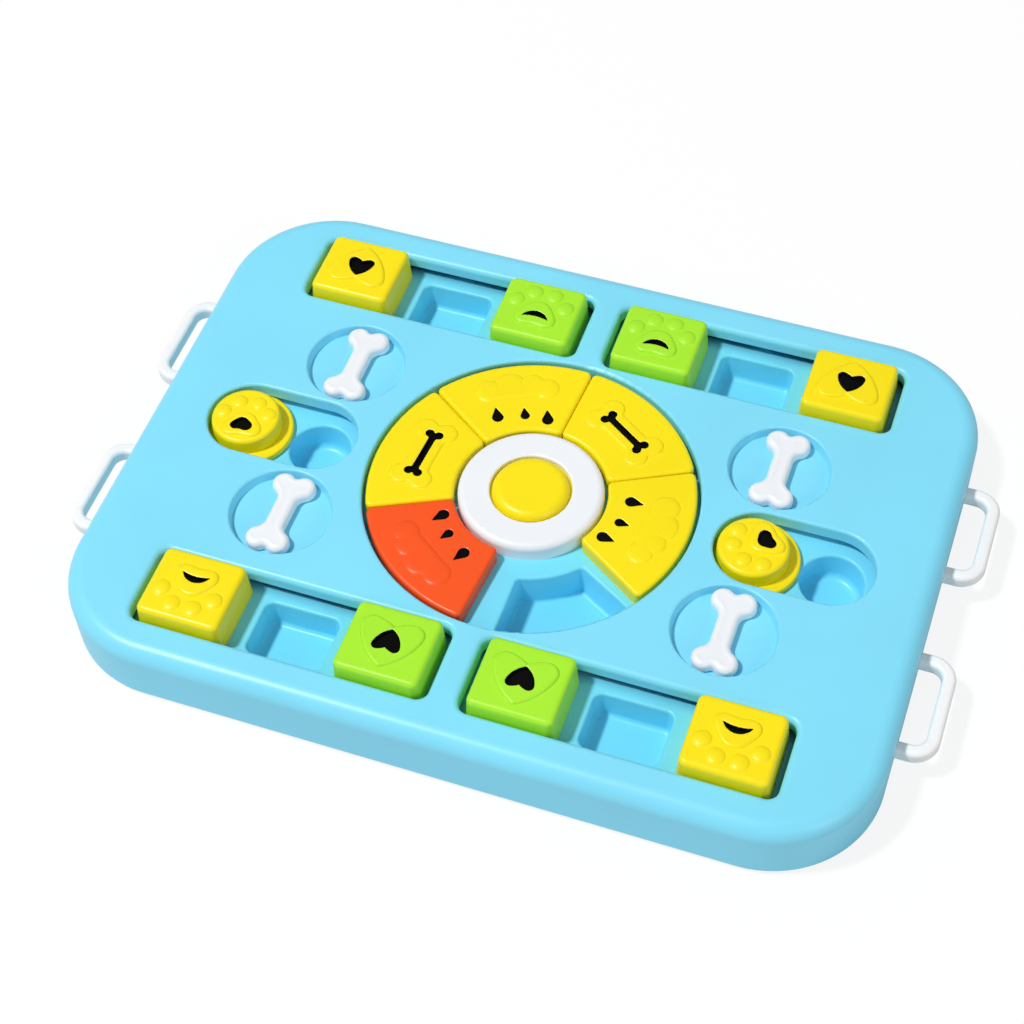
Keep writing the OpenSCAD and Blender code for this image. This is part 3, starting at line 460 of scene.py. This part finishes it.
def cover(name, outline, middle, relief, foot, top, lean, edge, depth, rise, flange=None, n=400, m=90):
    """Cover with a relief and holes, as rings from the middle of its top to the middle of its foot.

    Ring t of the flat is middle + t**0.9 (inner - middle), where inner is the outline drawn in by lean + edge, and
    its height is top + rise * relief. Points near a hole's outline move onto it along the gradient of the distance,
    and points inside drop by depth, which makes the hole's wall. Then come a quarter circle of radius edge, a side
    that leans out to the foot, an optional flange (function that gives its rings, height), and a flat underside. A
    cover with the same relief is a copy of the first one, since all of one kind have the same sizes.
    """
    if relief.__name__ in SHAPES:
        obj = bpy.data.objects.new(name, SHAPES[relief.__name__].copy())
        bpy.context.scene.collection.objects.link(obj)
        return obj
    loop = resample(outline, n)
    nor = normals_of(loop)
    inner = loop - nor * (lean + edge)
    t = np.linspace(0, 1, m + 1)[1:] ** 0.9
    flat = (middle + t[:, None, None] * (inner - middle)).reshape(-1, 2)
    reach = 0.62 * max(np.hypot(*(inner - middle).T).max() / m, 0.15)
    hole = relief(flat)[1]
    e = 0.02
    gx = (relief(flat + [e, 0])[1] - hole) / e
    gy = (relief(flat + [0, e])[1] - hole) / e
    near = np.abs(hole) < reach
    flat = flat - np.where(near, hole, 0)[:, None] * np.stack([gx, gy], 1)
    raised, d = relief(flat)
    inside = hole <= -reach
    z = top + rise * raised
    # a small fillet round each hole
    drop, width = 0.22, 0.55
    z -= drop * np.clip(1 - d / width, 0, 1) ** 2 * (~inside)
    z = np.where(inside, top - depth, z)
    rings = [np.c_[flat.reshape(m, n, 2)[k], z.reshape(m, n)[k]] for k in range(m)]
    centre = np.c_[np.repeat(middle[None], n, 0), np.full(n, float(z.reshape(m, n)[0].mean()))]
    rings = [centre] + rings
    for a in np.radians(np.linspace(0, 90, 10))[1:]:
        rings.append(np.c_[loop - nor * (lean + edge * (1 - math.sin(a))),
                           np.full(n, top - edge * (1 - math.cos(a)))])
    low = foot if flange is None else foot + flange[1]
    for s in np.linspace(0, 1, 6)[1:]:
        rings.append(np.c_[loop - nor * lean * (1 - s), np.full(n, top - edge + (low - top + edge) * s)])
    if flange is not None:
        rings += flange[0](loop, nor, low, foot)
    rings.append(np.c_[loop - nor * 0.3, np.full(n, foot)] if flange is None else rings[-1])
    last = rings[-1]
    rings.append(np.c_[last[:, :2] * 0.5 + middle * 0.5, last[:, 2]])
    rings.append(np.c_[np.repeat(middle[None], n, 0), np.full(n, foot)])
    obj = rings_to_mesh(name, rings)
    dark = np.zeros(len(obj.data.polygons), np.int32)
    ins = inside.reshape(m, n)
    # a face gets the near-black painted shade of the hole's inside where any of its corners is in a hole
    floor = ins[:-1] | ins[1:] | np.roll(ins[:-1], -1, 1) | np.roll(ins[1:], -1, 1)
    dark[: (m - 1) * n] = floor.reshape(-1)
    dark[-2 * n : -n] = ins[0].all()
    obj.data.polygons.foreach_set("material_index", dark)
    SHAPES[relief.__name__] = obj.data.copy()
    return obj


def strips(rings, start, flip):
    """Index quads between neighbouring rings of n points each, the first point at start."""
    n = len(rings[0])
    i = start + np.arange(len(rings) - 1)[:, None] * n
    j = np.arange(n)[None]
    j1 = (j + 1) % n
    quads = np.stack([i + j, i + j1, i + n + j1, i + n + j], 2).reshape(-1, 4)
    return quads[:, ::-1] if flip else quads


def tray(name, edge, pockets, top, floor, deep, border=(), bore=()):
    """Tray with pockets as one sheet that is thickened below.

    Each pocket is an outline drawn in step by step: a flat, a quarter circle of radius mouth, a wall that leans in
    by lean, a quarter circle of radius deep at the floor, then flat to the middle. Triangles fill the flat between
    the edge and the pockets. border steps outward from the edge, bore steps into a hole about the middle, both as
    (distance or radius, height).
    """
    mouth, start, lean = 1.3, -0.65, 0.4
    q = np.radians(np.linspace(0, 90, 9))
    steps = [(start - 0.4, top)] + [(start + mouth * math.sin(a), top - mouth * (1 - math.cos(a))) for a in q]
    steps += [(start + mouth + lean + deep * (1 - math.cos(a)), floor + deep * (1 - math.sin(a))) for a in q]
    steps.append((steps[-1][0] + 0.2, floor))
    groups = [[np.c_[loop(d), np.full(len(loop(d)), z)] for d, z in steps] for loop in pockets]
    if bore:
        groups.append([np.c_[arc(0, 0, r, 0, 360, 49)[:-1], np.full(48, z)] for r, z in bore])
    rim = [np.c_[edge(-d), np.full(len(edge(d)), z)] for d, z in ((0.0, top), *border)]
    co, quads, tris, firsts = list(rim), [strips(rim, 0, True)], [], [np.arange(len(rim[0]))]
    count = sum(len(r) for r in rim)
    for k, rings in enumerate(groups):
        n = len(rings[0])
        quads.append(strips(rings, count, False))
        firsts.append(count + np.arange(n))
        co += rings
        count += n * len(rings)
        if k < len(pockets):
            last = count - n + np.arange(n)
            tris.append(np.stack([last, np.roll(last, -1), np.full(n, count)], 1))
            co.append(rings[-1].mean(0)[None])
            count += 1
    co = np.vstack(co)
    ids = np.concatenate(firsts)
    flat = co[ids, :2]
    bounds = np.cumsum([0] + [len(f) for f in firsts])
    edges = [(a + i, a + (i + 1) % (b - a)) for a, b in zip(bounds, bounds[1:]) for i in range(b - a)]
    points, _, faces, origin, _, _ = delaunay_2d_cdt([Vector(c) for c in flat.tolist()], edges, [], 1, 1e-5)
    if len(points) != len(flat):
        raise RuntimeError(f"the flat of {name} has crossing outlines")
    back = np.array([o[0] for o in origin])
    faces = back[np.array(faces)]
    middle = flat[faces].mean(1)
    keep = np.ones(len(faces), bool)
    for a, b in zip(bounds[1:], bounds[2:]):
        keep &= distance(middle, flat[a:b]) > 0
    faces = faces[keep]
    ab, ac = flat[faces[:, 1]] - flat[faces[:, 0]], flat[faces[:, 2]] - flat[faces[:, 0]]
    turn = ab[:, 0] * ac[:, 1] < ab[:, 1] * ac[:, 0]
    faces[turn] = faces[turn][:, ::-1]
    obj = make_mesh(name, co, np.vstack(quads), np.vstack([*tris, ids[faces]]))
    thick = obj.modifiers.new("thickness", "SOLIDIFY")
    thick.thickness = 0.0012
    thick.offset = -1
    thick.use_even_offset = True
    return obj


def loose_bone(name, l, w, r, y, neck, notch, foot, top):
    """Bone shell as outlines that are drawn in and lifted: hollow below, a rounded foot, a broad quarter-round edge,
    then a shallow slope down by dip over a further reach, and a flat middle."""
    edge, wall, dip, reach = 2.5, 1.8, 0.14, 1.1
    steps = [(wall, top - foot - wall), (wall, 0.0), (0.8, 0.0), (0.25, 0.25), (0.0, 0.8)]
    steps += [(0.0, t) for t in np.linspace(0.8, top - foot - edge, 4)[1:]]
    turn = np.radians(np.linspace(0, 90, 14))[1:]
    steps += [(edge * (1 - math.cos(a)), top - foot - edge * (1 - math.sin(a))) for a in turn]
    steps += [(edge + t, top - foot - dip * (1 - math.cos(math.pi * t / reach)) / 2)
              for t in np.linspace(0, reach, 6)[1:]]
    rings = [bone_loop(l, w, r, y, neck, notch, inset) for inset, _ in steps]
    n = len(rings[0])
    co = np.vstack([np.c_[ring, np.full(n, foot + z)] for ring, (_, z) in zip(rings, steps)])
    quads = strips(rings, 0, False)
    mesh = bpy.data.meshes.new(name)
    ends = [np.arange(n)[::-1].tolist(), (np.arange(n) + (len(steps) - 1) * n).tolist()]
    mesh.from_pydata((co * 0.001).tolist(), [], quads.tolist() + ends)
    mesh.validate()
    obj = bpy.data.objects.new(name, mesh)
    bpy.context.scene.collection.objects.link(obj)
    return obj


def coil(name, radius, wire, low, high, turns):
    """Spring as a tube of radius wire about the helix (radius cos a, radius sin a, low + (high - low) t), a = 2 pi
    turns t, with flat ends."""
    n, m = turns * 48, 12
    a, b = np.linspace(0, 2 * math.pi * turns, n + 1), np.linspace(0, 2 * math.pi, m, endpoint=False)
    r, z = radius + wire * np.cos(b), wire * np.sin(b)
    rings = [np.c_[r * math.cos(t), r * math.sin(t), low + (high - low) * k / n + z] for k, t in enumerate(a)]
    j = np.arange(1, m - 1)
    first = np.stack([np.zeros(m - 2, int), j, j + 1], 1)
    return make_mesh(name, np.vstack(rings), strips(rings, 0, True), np.vstack([first, first[:, ::-1] + n * m]))


def finish_piece(obj, node, body, mats, angle=38, turn=0.0, place=(0, 0, 0)):
    """Turns and moves the points into place, gives the materials, smooths the shading, hands the piece to its body and
    hides the CAD node.
    """
    obj.data.transform(Matrix.Translation(Vector(place) * 0.001) @ Matrix.Rotation(math.radians(turn), 4, "Z"))
    for mat in mats:
        obj.data.materials.append(mat)
    obj.data.polygons.foreach_set("use_smooth", np.ones(len(obj.data.polygons), bool))
    obj.data.set_sharp_from_angle(angle=math.radians(angle))
    obj.data.update()
    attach(obj, body)
    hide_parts(node)
    return obj


# ---------- materials ----------


def plastic(name, colour, roughness, grain, tint=0.03, gloss=0.4):
    """Moulded plastic: soft colour drift, fine grain in roughness and bump, all from Object coordinates."""
    name = f"dressed_{name}"
    mat = bpy.data.materials.get(name)
    if mat:
        return mat
    mat = bpy.data.materials.new(name)
    mat.use_nodes = True
    nodes, links = mat.node_tree.nodes, mat.node_tree.links
    shader = nodes["Principled BSDF"]
    shader.inputs["IOR"].default_value = 1.5
    shader.inputs["Specular IOR Level"].default_value = gloss
    place = nodes.new("ShaderNodeTexCoord")
    cloud = nodes.new("ShaderNodeTexNoise")
    cloud.inputs["Scale"].default_value = 22
    cloud.inputs["Detail"].default_value = 2
    links.new(place.outputs["Object"], cloud.inputs["Vector"])
    ramp = nodes.new("ShaderNodeValToRGB")
    ramp.color_ramp.elements[0].position = 0.3
    ramp.color_ramp.elements[1].position = 0.7
    dim = 1 - tint
    ramp.color_ramp.elements[0].color = (*(c * dim for c in colour), 1)
    ramp.color_ramp.elements[1].color = (*(min(1, c * (1 + tint * 0.3)) for c in colour), 1)
    links.new(cloud.outputs["Fac"], ramp.inputs["Fac"])
    links.new(ramp.outputs["Color"], shader.inputs["Base Color"])
    fine = nodes.new("ShaderNodeTexNoise")
    fine.inputs["Scale"].default_value = 1 / grain
    fine.inputs["Detail"].default_value = 3
    links.new(place.outputs["Object"], fine.inputs["Vector"])
    spread = nodes.new("ShaderNodeMapRange")
    spread.inputs["From Min"].default_value = 0.3
    spread.inputs["From Max"].default_value = 0.7
    spread.inputs["To Min"].default_value = roughness - 0.04
    spread.inputs["To Max"].default_value = roughness + 0.05
    links.new(fine.outputs["Fac"], spread.inputs["Value"])
    links.new(spread.outputs["Result"], shader.inputs["Roughness"])
    bump = nodes.new("ShaderNodeBump")
    bump.inputs["Strength"].default_value = 0.06
    bump.inputs["Distance"].default_value = 0.00006
    links.new(fine.outputs["Fac"], bump.inputs["Height"])
    links.new(bump.outputs["Normal"], shader.inputs["Normal"])
    return mat


def metal(name, colour, roughness):
    """Drawn steel: fine streaks in roughness and bump from a stretched noise in Object coordinates."""
    mat = bpy.data.materials.new(f"dressed_{name}")
    mat.use_nodes = True
    nodes, links = mat.node_tree.nodes, mat.node_tree.links
    shader = nodes["Principled BSDF"]
    shader.inputs["Base Color"].default_value = (*colour, 1)
    shader.inputs["Metallic"].default_value = 1
    place = nodes.new("ShaderNodeTexCoord")
    stretch = nodes.new("ShaderNodeMapping")
    stretch.inputs["Scale"].default_value = (900, 900, 120)
    noise = nodes.new("ShaderNodeTexNoise")
    noise.inputs["Scale"].default_value = 4
    spread = nodes.new("ShaderNodeMapRange")
    spread.inputs["To Min"].default_value = roughness - 0.1
    spread.inputs["To Max"].default_value = roughness + 0.12
    links.new(place.outputs["Object"], stretch.inputs["Vector"])
    links.new(stretch.outputs["Vector"], noise.inputs["Vector"])
    links.new(noise.outputs["Fac"], spread.inputs["Value"])
    links.new(spread.outputs["Result"], shader.inputs["Roughness"])
    return mat


def finishes():
    """The materials by short name."""
    c = bpy.context.scene.puzzle_colours
    f = bpy.context.scene.puzzle_finish
    # deep gives a shaded copy of the housing's blue, painted shade for the trays
    out = {k: plastic(f"{k}_plastic", tuple(getattr(c, k)), f.roughness, f.grain)
           for k in ("sky", "deep", "sun", "leaf", "coral", "snow")}
    # near-black and without gloss: painted shade for the inside of the shaped holes
    out["shade"] = plastic("painted_hole_shade", tuple(c.shade), 0.9, f.grain, 0.2, 0.0)
    return out


def dress(node, mat):
    """Gives a CAD node a material in place of its plain one."""
    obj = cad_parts[node]
    obj.data.materials.clear()
    obj.data.materials.append(mat)


# ---------- operators ----------


class PUZZLE_OT_housing(bpy.types.Operator):
    """Give the housing, ring, button, handles, feet and screws their finish"""

    bl_idname = "puzzle.housing"
    bl_label = "Finish housing"

    def execute(self, context):
        mats = finishes()
        milk = plastic("handle_white", (0.95, 0.95, 0.95), 0.35, 0.0005)
        rubber = plastic("foot_rubber", (0.05, 0.055, 0.06), 0.75, 0.0008, 0.15)
        steel = metal("screw_steel", (0.6, 0.61, 0.63), 0.35)
        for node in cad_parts:
            if node.startswith(("top_", "bottom_")):
                dress(node, mats["sky"])
            elif node.startswith("handle_"):
                dress(node, milk)
            elif node == "hub_ring":
                dress(node, mats["snow"])
            elif node == "hub_button":
                dress(node, mats["sun"])
            elif node == "rubber_feet":
                dress(node, rubber)
            elif node == "case_screws":
                dress(node, steel)
        return {"FINISHED"}


class PUZZLE_OT_trays(bpy.types.Operator):
    """Make the seven trays with their 18 pockets, rounded at the mouth and the floor"""

    bl_idname = "puzzle.trays"
    bl_label = "Pocket trays"

    def execute(self, context):
        s, mats = context.scene.puzzle_trays, finishes()
        length, width, corner = s.pocket_length * MM, s.pocket_width * MM, s.pocket_corner * MM
        cup, deep, floor = s.cup_radius * MM, s.floor_round * MM, s.pocket_floor * MM
        boxes = [lambda d, x=x: rounded_box(length - 2 * d, width - 2 * d, corner - d, 12) + [x, 0]
                 for x in POCKET_MIDDLES]
        cups = [lambda d, x=x: arc(x, 0, cup - d, 0, 360, 97)[:-1] for x in CUP_MIDDLES]

        def wedge(turn):
            c, n = math.cos(turn), math.sin(turn)
            return lambda d: sector_loop(*WEDGE, d) @ np.array([[c, n], [-n, c]])

        for node in [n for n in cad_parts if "_tray" in n]:
            lo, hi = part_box(node)
            l, w = MM * (hi.x - lo.x), MM * (hi.y - lo.y)
            x, y, _, high = centre_of(node)
            if node.startswith("slot"):
                obj = tray(f"{node}_sheet", lambda d: rounded_box(l - 2 * d, w - 2 * d, 8.5 - d), boxes, high, floor,
                           deep)
            elif node.startswith("round"):
                obj = tray(f"{node}_sheet", lambda d: rounded_box(l - 3 - 2 * d, w - 3 - 2 * d, w / 2 - 1.51 - d), cups,
                           high - 3.9, floor, deep + 1, [(0.01, high), (1.5, high)])
            else:
                flat = s.wheel_floor * MM
                wedges = [wedge(math.radians(60 * k + 30)) for k in range(6)]
                guide = [(7.0, flat), (6.9, flat + 1.5), (4.2, flat + 1.5), (4.1, flat - 8)]
                obj = tray(f"{node}_sheet", lambda d: arc(0, 0, l / 2 - d, 0, 360, 181)[:-1], wedges, flat, floor,
                           deep - 0.8, (), guide)
            # the trays get the deeper blue, painted shade over the housing's own blue
            finish_piece(obj, node, "housing", [mats["deep"]], 50, place=(x, y, 0))
        return {"FINISHED"}


class PUZZLE_OT_blocks(bpy.types.Operator):
    """Make the eight sliding blocks with their hearts and paws"""

    bl_idname = "puzzle.blocks"
    bl_label = "Sliding blocks"

    def execute(self, context):
        s, f, mats = context.scene.puzzle_covers, context.scene.puzzle_finish, finishes()
        length, width, lean = s.block_length * MM, s.block_width * MM, s.block_lean * MM
        edge, corner = s.block_edge * MM, s.block_corner * MM
        rise, depth = f.relief * MM, f.hole_depth * MM
        for node, (kind, colour, turn) in BLOCKS.items():
            x, y, foot, top = centre_of(node)
            relief = heart_relief if kind == "heart" else paw_relief
            obj = cover(f"{node}_cover", rounded_box(length, width, corner), np.array([0.0, 0.0]), relief,
                        foot, top - rise, lean, edge, depth, rise)
            finish_piece(obj, node, node, [mats[colour], mats["shade"]], turn=turn,
                         place=(x, y, 0))
        return {"FINISHED"}


class PUZZLE_OT_caps(bpy.types.Operator):
    """Make the two round sliding caps"""

    bl_idname = "puzzle.caps"
    bl_label = "Round caps"

    def execute(self, context):
        s, f, mats = context.scene.puzzle_covers, context.scene.puzzle_finish, finishes()
        r, fl = s.cap_radius * MM, s.cap_flange * MM
        rise, depth = f.relief * MM, f.hole_depth * MM

        def flange(loop, nor, low, foot):
            """Steps out from the cap's wall to the flange's rounded rim and down to the foot."""
            out = []
            for d, z in ((0.25, low + 0.15), (0.7, low), (fl - r - 0.9, low - 0.25), (fl - r - 0.35, low - 0.45),
                         (fl - r, low - 0.95), (fl - r, foot + 0.3), (fl - r - 0.3, foot)):
                out.append(np.c_[loop + nor * d, np.full(len(loop), z)])
            return out

        for node, turn in CAPS.items():
            x, y, foot, top = centre_of(node)
            obj = cover(f"{node}_cover", arc(0, 0, r, 0, 360, 181)[:-1], np.array([0.0, 0.0]), small_paw_relief,
                        foot, top - rise, 0.35, 2.0, depth, rise, (flange, 3.3), n=300, m=80)
            finish_piece(obj, node, node, [mats["sun"], mats["shade"]], turn=turn, place=(x, y, 0))
        return {"FINISHED"}


class PUZZLE_OT_tiles(bpy.types.Operator):
    """Make the five tiles of the wheel with their clouds, drops and bones"""

    bl_idname = "puzzle.tiles"
    bl_label = "Wheel tiles"

    def execute(self, context):
        s, f, mats = context.scene.puzzle_covers, context.scene.puzzle_finish, finishes()
        ro, ri, half = s.tile_outer * MM, s.tile_inner * MM, math.degrees(s.tile_angle) / 2
        flat, depth = s.tile_flat * MM, f.hole_depth * MM
        outline = sector_loop(ro, ri, half, 0.0, 2.6)
        for node, (kind, colour, i) in TILES.items():
            _, _, foot, top = centre_of(node)
            relief = cloud_relief if kind == "cloud" else bone_relief
            obj = cover(f"{node}_cover", outline, np.array([0.0, 53.0]), relief, foot, flat, 0.0, 1.7, depth,
                        top - flat, n=560, m=120)
            turn = math.degrees(s.tile_start + i * s.tile_pitch) - 90
            finish_piece(obj, node, node, [mats[colour], mats["shade"]], turn=turn)
        return {"FINISHED"}


class PUZZLE_OT_bones(bpy.types.Operator):
    """Make the four lift-off bones that lie in the dishes"""

    bl_idname = "puzzle.bones"
    bl_label = "Lift-off bones"

    def execute(self, context):
        mats = finishes()
        for node in [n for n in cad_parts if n.startswith("bone_")]:
            x, y, foot, top = centre_of(node)
            obj = loose_bone(f"{node}_skin", *BONE, foot, top)
            finish_piece(obj, node, node, [mats["snow"]], turn=90, place=(x, y, 0))
        return {"FINISHED"}


class PUZZLE_OT_spring(bpy.types.Operator):
    """Make the coil spring under the button, which moves with the button"""

    bl_idname = "puzzle.spring"
    bl_label = "Button spring"

    def execute(self, context):
        turns, wire, travel = 5, 0.5, 3.0
        lo, hi = (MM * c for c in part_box("button_spring"))
        obj = coil("button_spring_coil", hi.x - wire, wire, lo.z + wire, hi.z - wire, turns)
        steel = metal("spring_steel", (0.6, 0.61, 0.63), 0.3)
        finish_piece(obj, "button_spring", "button", [steel])
        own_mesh(obj)
        return {"FINISHED"}


class PUZZLE_OT_stage(bpy.types.Operator):
    """Set the floor, the lamps and the camera"""

    bl_idname = "puzzle.stage"
    bl_label = "Stage"

    def execute(self, context):
        s = context.scene.puzzle_stage
        scene = context.scene
        scene.view_settings.view_transform = "Standard"
        # floor: pale, and plain white to the camera except for the shadow
        mesh = bpy.data.meshes.new("floor")
        mesh.from_pydata([(-4, -4, 0), (4, -4, 0), (4, 4, 0), (-4, 4, 0)], [], [(0, 1, 2, 3)])
        floor = bpy.data.objects.new("floor", mesh)
        scene.collection.objects.link(floor)
        mat = bpy.data.materials.new("floor_paper")
        mat.use_nodes = True
        nodes, links = mat.node_tree.nodes, mat.node_tree.links
        paper = nodes["Principled BSDF"]
        paper.inputs["Roughness"].default_value = 0.9
        path = nodes.new("ShaderNodeLightPath")
        tone = nodes.new("ShaderNodeMapRange")
        tone.inputs["To Min"].default_value, tone.inputs["To Max"].default_value = PAPER_TONES
        links.new(path.outputs["Is Camera Ray"], tone.inputs["Value"])
        links.new(tone.outputs["Result"], paper.inputs["Base Color"])
        share = nodes.new("ShaderNodeMath")
        share.operation = "MULTIPLY"
        share.inputs[1].default_value = PAPER_WHITE
        links.new(path.outputs["Is Camera Ray"], share.inputs[0])
        white = nodes.new("ShaderNodeEmission")
        mix = nodes.new("ShaderNodeMixShader")
        links.new(share.outputs["Value"], mix.inputs["Fac"])
        links.new(paper.outputs["BSDF"], mix.inputs[1])
        links.new(white.outputs["Emission"], mix.inputs[2])
        links.new(mix.outputs["Shader"], nodes["Material Output"].inputs["Surface"])
        floor.data.materials.append(mat)
        world = bpy.data.worlds.new("room")
        world.use_nodes = True
        scene.world = world
        nodes, links = world.node_tree.nodes, world.node_tree.links
        back = nodes["Background"]
        back.inputs["Color"].default_value = (1, 1, 1, 1)
        back.inputs["Strength"].default_value = s.room
        white = nodes.new("ShaderNodeBackground")
        white.inputs["Strength"].default_value = 1
        path = nodes.new("ShaderNodeLightPath")
        mix = nodes.new("ShaderNodeMixShader")
        links.new(path.outputs["Is Camera Ray"], mix.inputs["Fac"])
        links.new(back.outputs["Background"], mix.inputs[1])
        links.new(white.outputs["Background"], mix.inputs[2])
        links.new(mix.outputs["Shader"], nodes["World Output"].inputs["Surface"])
        self.lamp(scene, "key", KEY_PLACE, KEY_SIZE, s.key_power)
        self.lamp(scene, "fill", FILL_PLACE, FILL_SIZE, s.fill_power)
        self.camera(scene, s.lens)
        return {"FINISHED"}

    def lamp(self, scene, name, place, size, watts):
        """Disk lamp that aims at the origin."""
        data = bpy.data.lights.new(name, "AREA")
        data.shape = "DISK"
        data.size = size
        data.energy = watts
        obj = bpy.data.objects.new(name, data)
        scene.collection.objects.link(obj)
        obj.location = place
        obj.rotation_euler = (-Vector(place)).to_track_quat("-Z", "Y").to_euler()

    def camera(self, scene, lens):
        """Camera at the measured place, turned by azimuth, elevation and roll."""
        az, el, roll = (math.radians(a) for a in CAMERA_TURN)
        ahead = Vector((-math.sin(az) * math.cos(el), math.cos(az) * math.cos(el), -math.sin(el)))
        right = Vector((math.cos(az), math.sin(az), 0))
        up = right.cross(ahead)
        r2 = math.cos(roll) * right + math.sin(roll) * up
        u2 = -math.sin(roll) * right + math.cos(roll) * up
        data = bpy.data.cameras.new("camera")
        data.lens = lens
        data.sensor_width = 36
        data.clip_start, data.clip_end = 0.05, 20
        obj = bpy.data.objects.new("camera", data)
        scene.collection.objects.link(obj)
        turn = Matrix((r2, u2, -ahead)).transposed().to_4x4()
        obj.matrix_world = Matrix.Translation(CAMERA_PLACE) @ turn
        scene.camera = obj


class PUZZLE_PT_panel(bpy.types.Panel):
    """Settings and steps of the treat puzzle"""

    bl_idname = "PUZZLE_PT_panel"
    bl_label = "Treat puzzle"
    bl_space_type = "VIEW_3D"
    bl_region_type = "UI"
    bl_category = "Treat puzzle"

    def draw(self, context):
        for key, group in GROUPS.items():
            box = self.layout.box()
            box.label(text=group.__doc__)
            for name in group.__annotations__:
                box.prop(getattr(context.scene, key), name)
        for op in OPERATORS:
            self.layout.operator(op.bl_idname)


OPERATORS = (PUZZLE_OT_housing, PUZZLE_OT_trays, PUZZLE_OT_blocks, PUZZLE_OT_caps, PUZZLE_OT_tiles, PUZZLE_OT_bones,
             PUZZLE_OT_spring, PUZZLE_OT_stage)


def register():
    """Registers the settings, the operators and the panel."""
    for key, group in GROUPS.items():
        bpy.utils.register_class(group)
        setattr(bpy.types.Scene, key, PointerProperty(type=group))
    for cls in (*OPERATORS, PUZZLE_PT_panel):
        bpy.utils.register_class(cls)


def unregister():
    """Removes the panel, the operators and the settings."""
    for cls in reversed((*OPERATORS, PUZZLE_PT_panel)):
        bpy.utils.unregister_class(cls)
    for key, group in reversed(GROUPS.items()):
        delattr(bpy.types.Scene, key)
        bpy.utils.unregister_class(group)


def main():
    """Registers the add-on and runs its steps in order."""
    register()
    for op in OPERATORS:
        space, name = op.bl_idname.split(".")
        getattr(getattr(bpy.ops, space), name)()
    bpy.context.view_layer.update()


if __name__ == "__main__":
    main()
